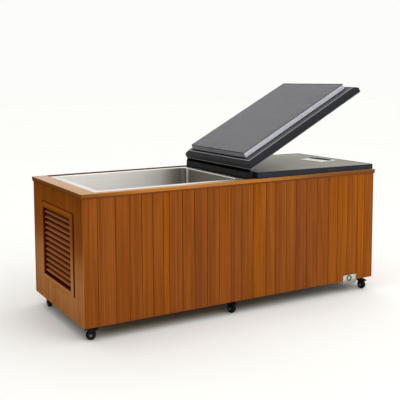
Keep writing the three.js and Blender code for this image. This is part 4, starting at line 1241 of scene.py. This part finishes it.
# A lighter band of floor just in front of the cabinet: painted light.
painted_light_band = f.along("Y", [(-1.3, 0.0), (-0.85, 0.75), (-0.45, 1.0), (-0.38, 0.0)])
painted_light_band = f.mix(1.0, painted_light_band, f.along("X", [(-0.9, 0.0), (0.0, 1.0), (1.0, 1.0), (1.8, 0.0)]), "MULTIPLY")
paint = f.mix(painted_light_band, paint, (0.965, 0.99, 0.985))
# A warm dark patch under the cabinet, fading at its edges: painted shadow.
under = f.along("Y", [(-0.385, 0.0), (-0.26, 1.0), (0.26, 1.0), (0.385, 0.0)])
under = f.mix(1.0, under, f.along("X", [(-0.95, 0.0), (-0.78, 1.0), (-0.2, 1.0), (0.2, 0.82), (0.62, 0.4), (0.97, 0.0)]), "MULTIPLY")
paint = f.mix(under, paint, (0.62, 0.51, 0.36))
me.materials.append(f.use(paint, f.span(haze, 0.3, 0.7, 0.7, 0.85)))

world = bpy.data.worlds.new("studio")
bpy.context.scene.world = world
world.use_nodes = True
nt = world.node_tree
nt.nodes.clear()



def sky(kind, ins=None, **props):
    node = nt.nodes.new(kind)
    for k, v in props.items():
        setattr(node, k, v)
    for k, v in (ins or {}).items():
        if isinstance(v, bpy.types.NodeSocket):
            nt.links.new(v, node.inputs[k])
        else:
            node.inputs[k].default_value = v
    return node


# An even white studio: a brighter ceiling, and less light from the left.
aim = sky("ShaderNodeSeparateXYZ", {0: sky("ShaderNodeTexCoord").outputs["Generated"]}).outputs
ceiling = sky("ShaderNodeMapRange", {0: aim[2], 1: 0.1, 2: 1.0, 3: 0.0, 4: 0.35}).outputs[0]
left_dim = sky("ShaderNodeMapRange", {0: aim[0], 1: -0.95, 2: 0.05, 3: 0.5, 4: 1.0}).outputs[0]
level = sky("ShaderNodeMath", {0: left_dim, 1: ceiling}, operation="ADD").outputs[0]
bg = sky("ShaderNodeBackground", {0: (0.975, 0.975, 0.955, 1.0), 1: level})
nt.links.new(bg.outputs[0], sky("ShaderNodeOutputWorld").inputs[0])


def lamp(name, at, to, size, power, color=(1, 1, 1)):
    li = bpy.data.lights.new(name, "AREA")
    li.shape = "RECTANGLE"
    li.size, li.size_y = size
    li.energy = power
    li.color = color
    ob = bpy.data.objects.new(name, li)
    bpy.context.scene.collection.objects.link(ob)
    ob.location = at
    ob.rotation_euler = (Vector(to) - Vector(at)).to_track_quat("-Z", "Y").to_euler()
    return ob


lamp("key", (1.2, -4.6, 4.2), (0.1, 0.0, 0.5), (3.0, 3.0), 60.0, (1.0, 0.985, 0.96))

bpy.context.scene.view_settings.view_transform = "Standard"
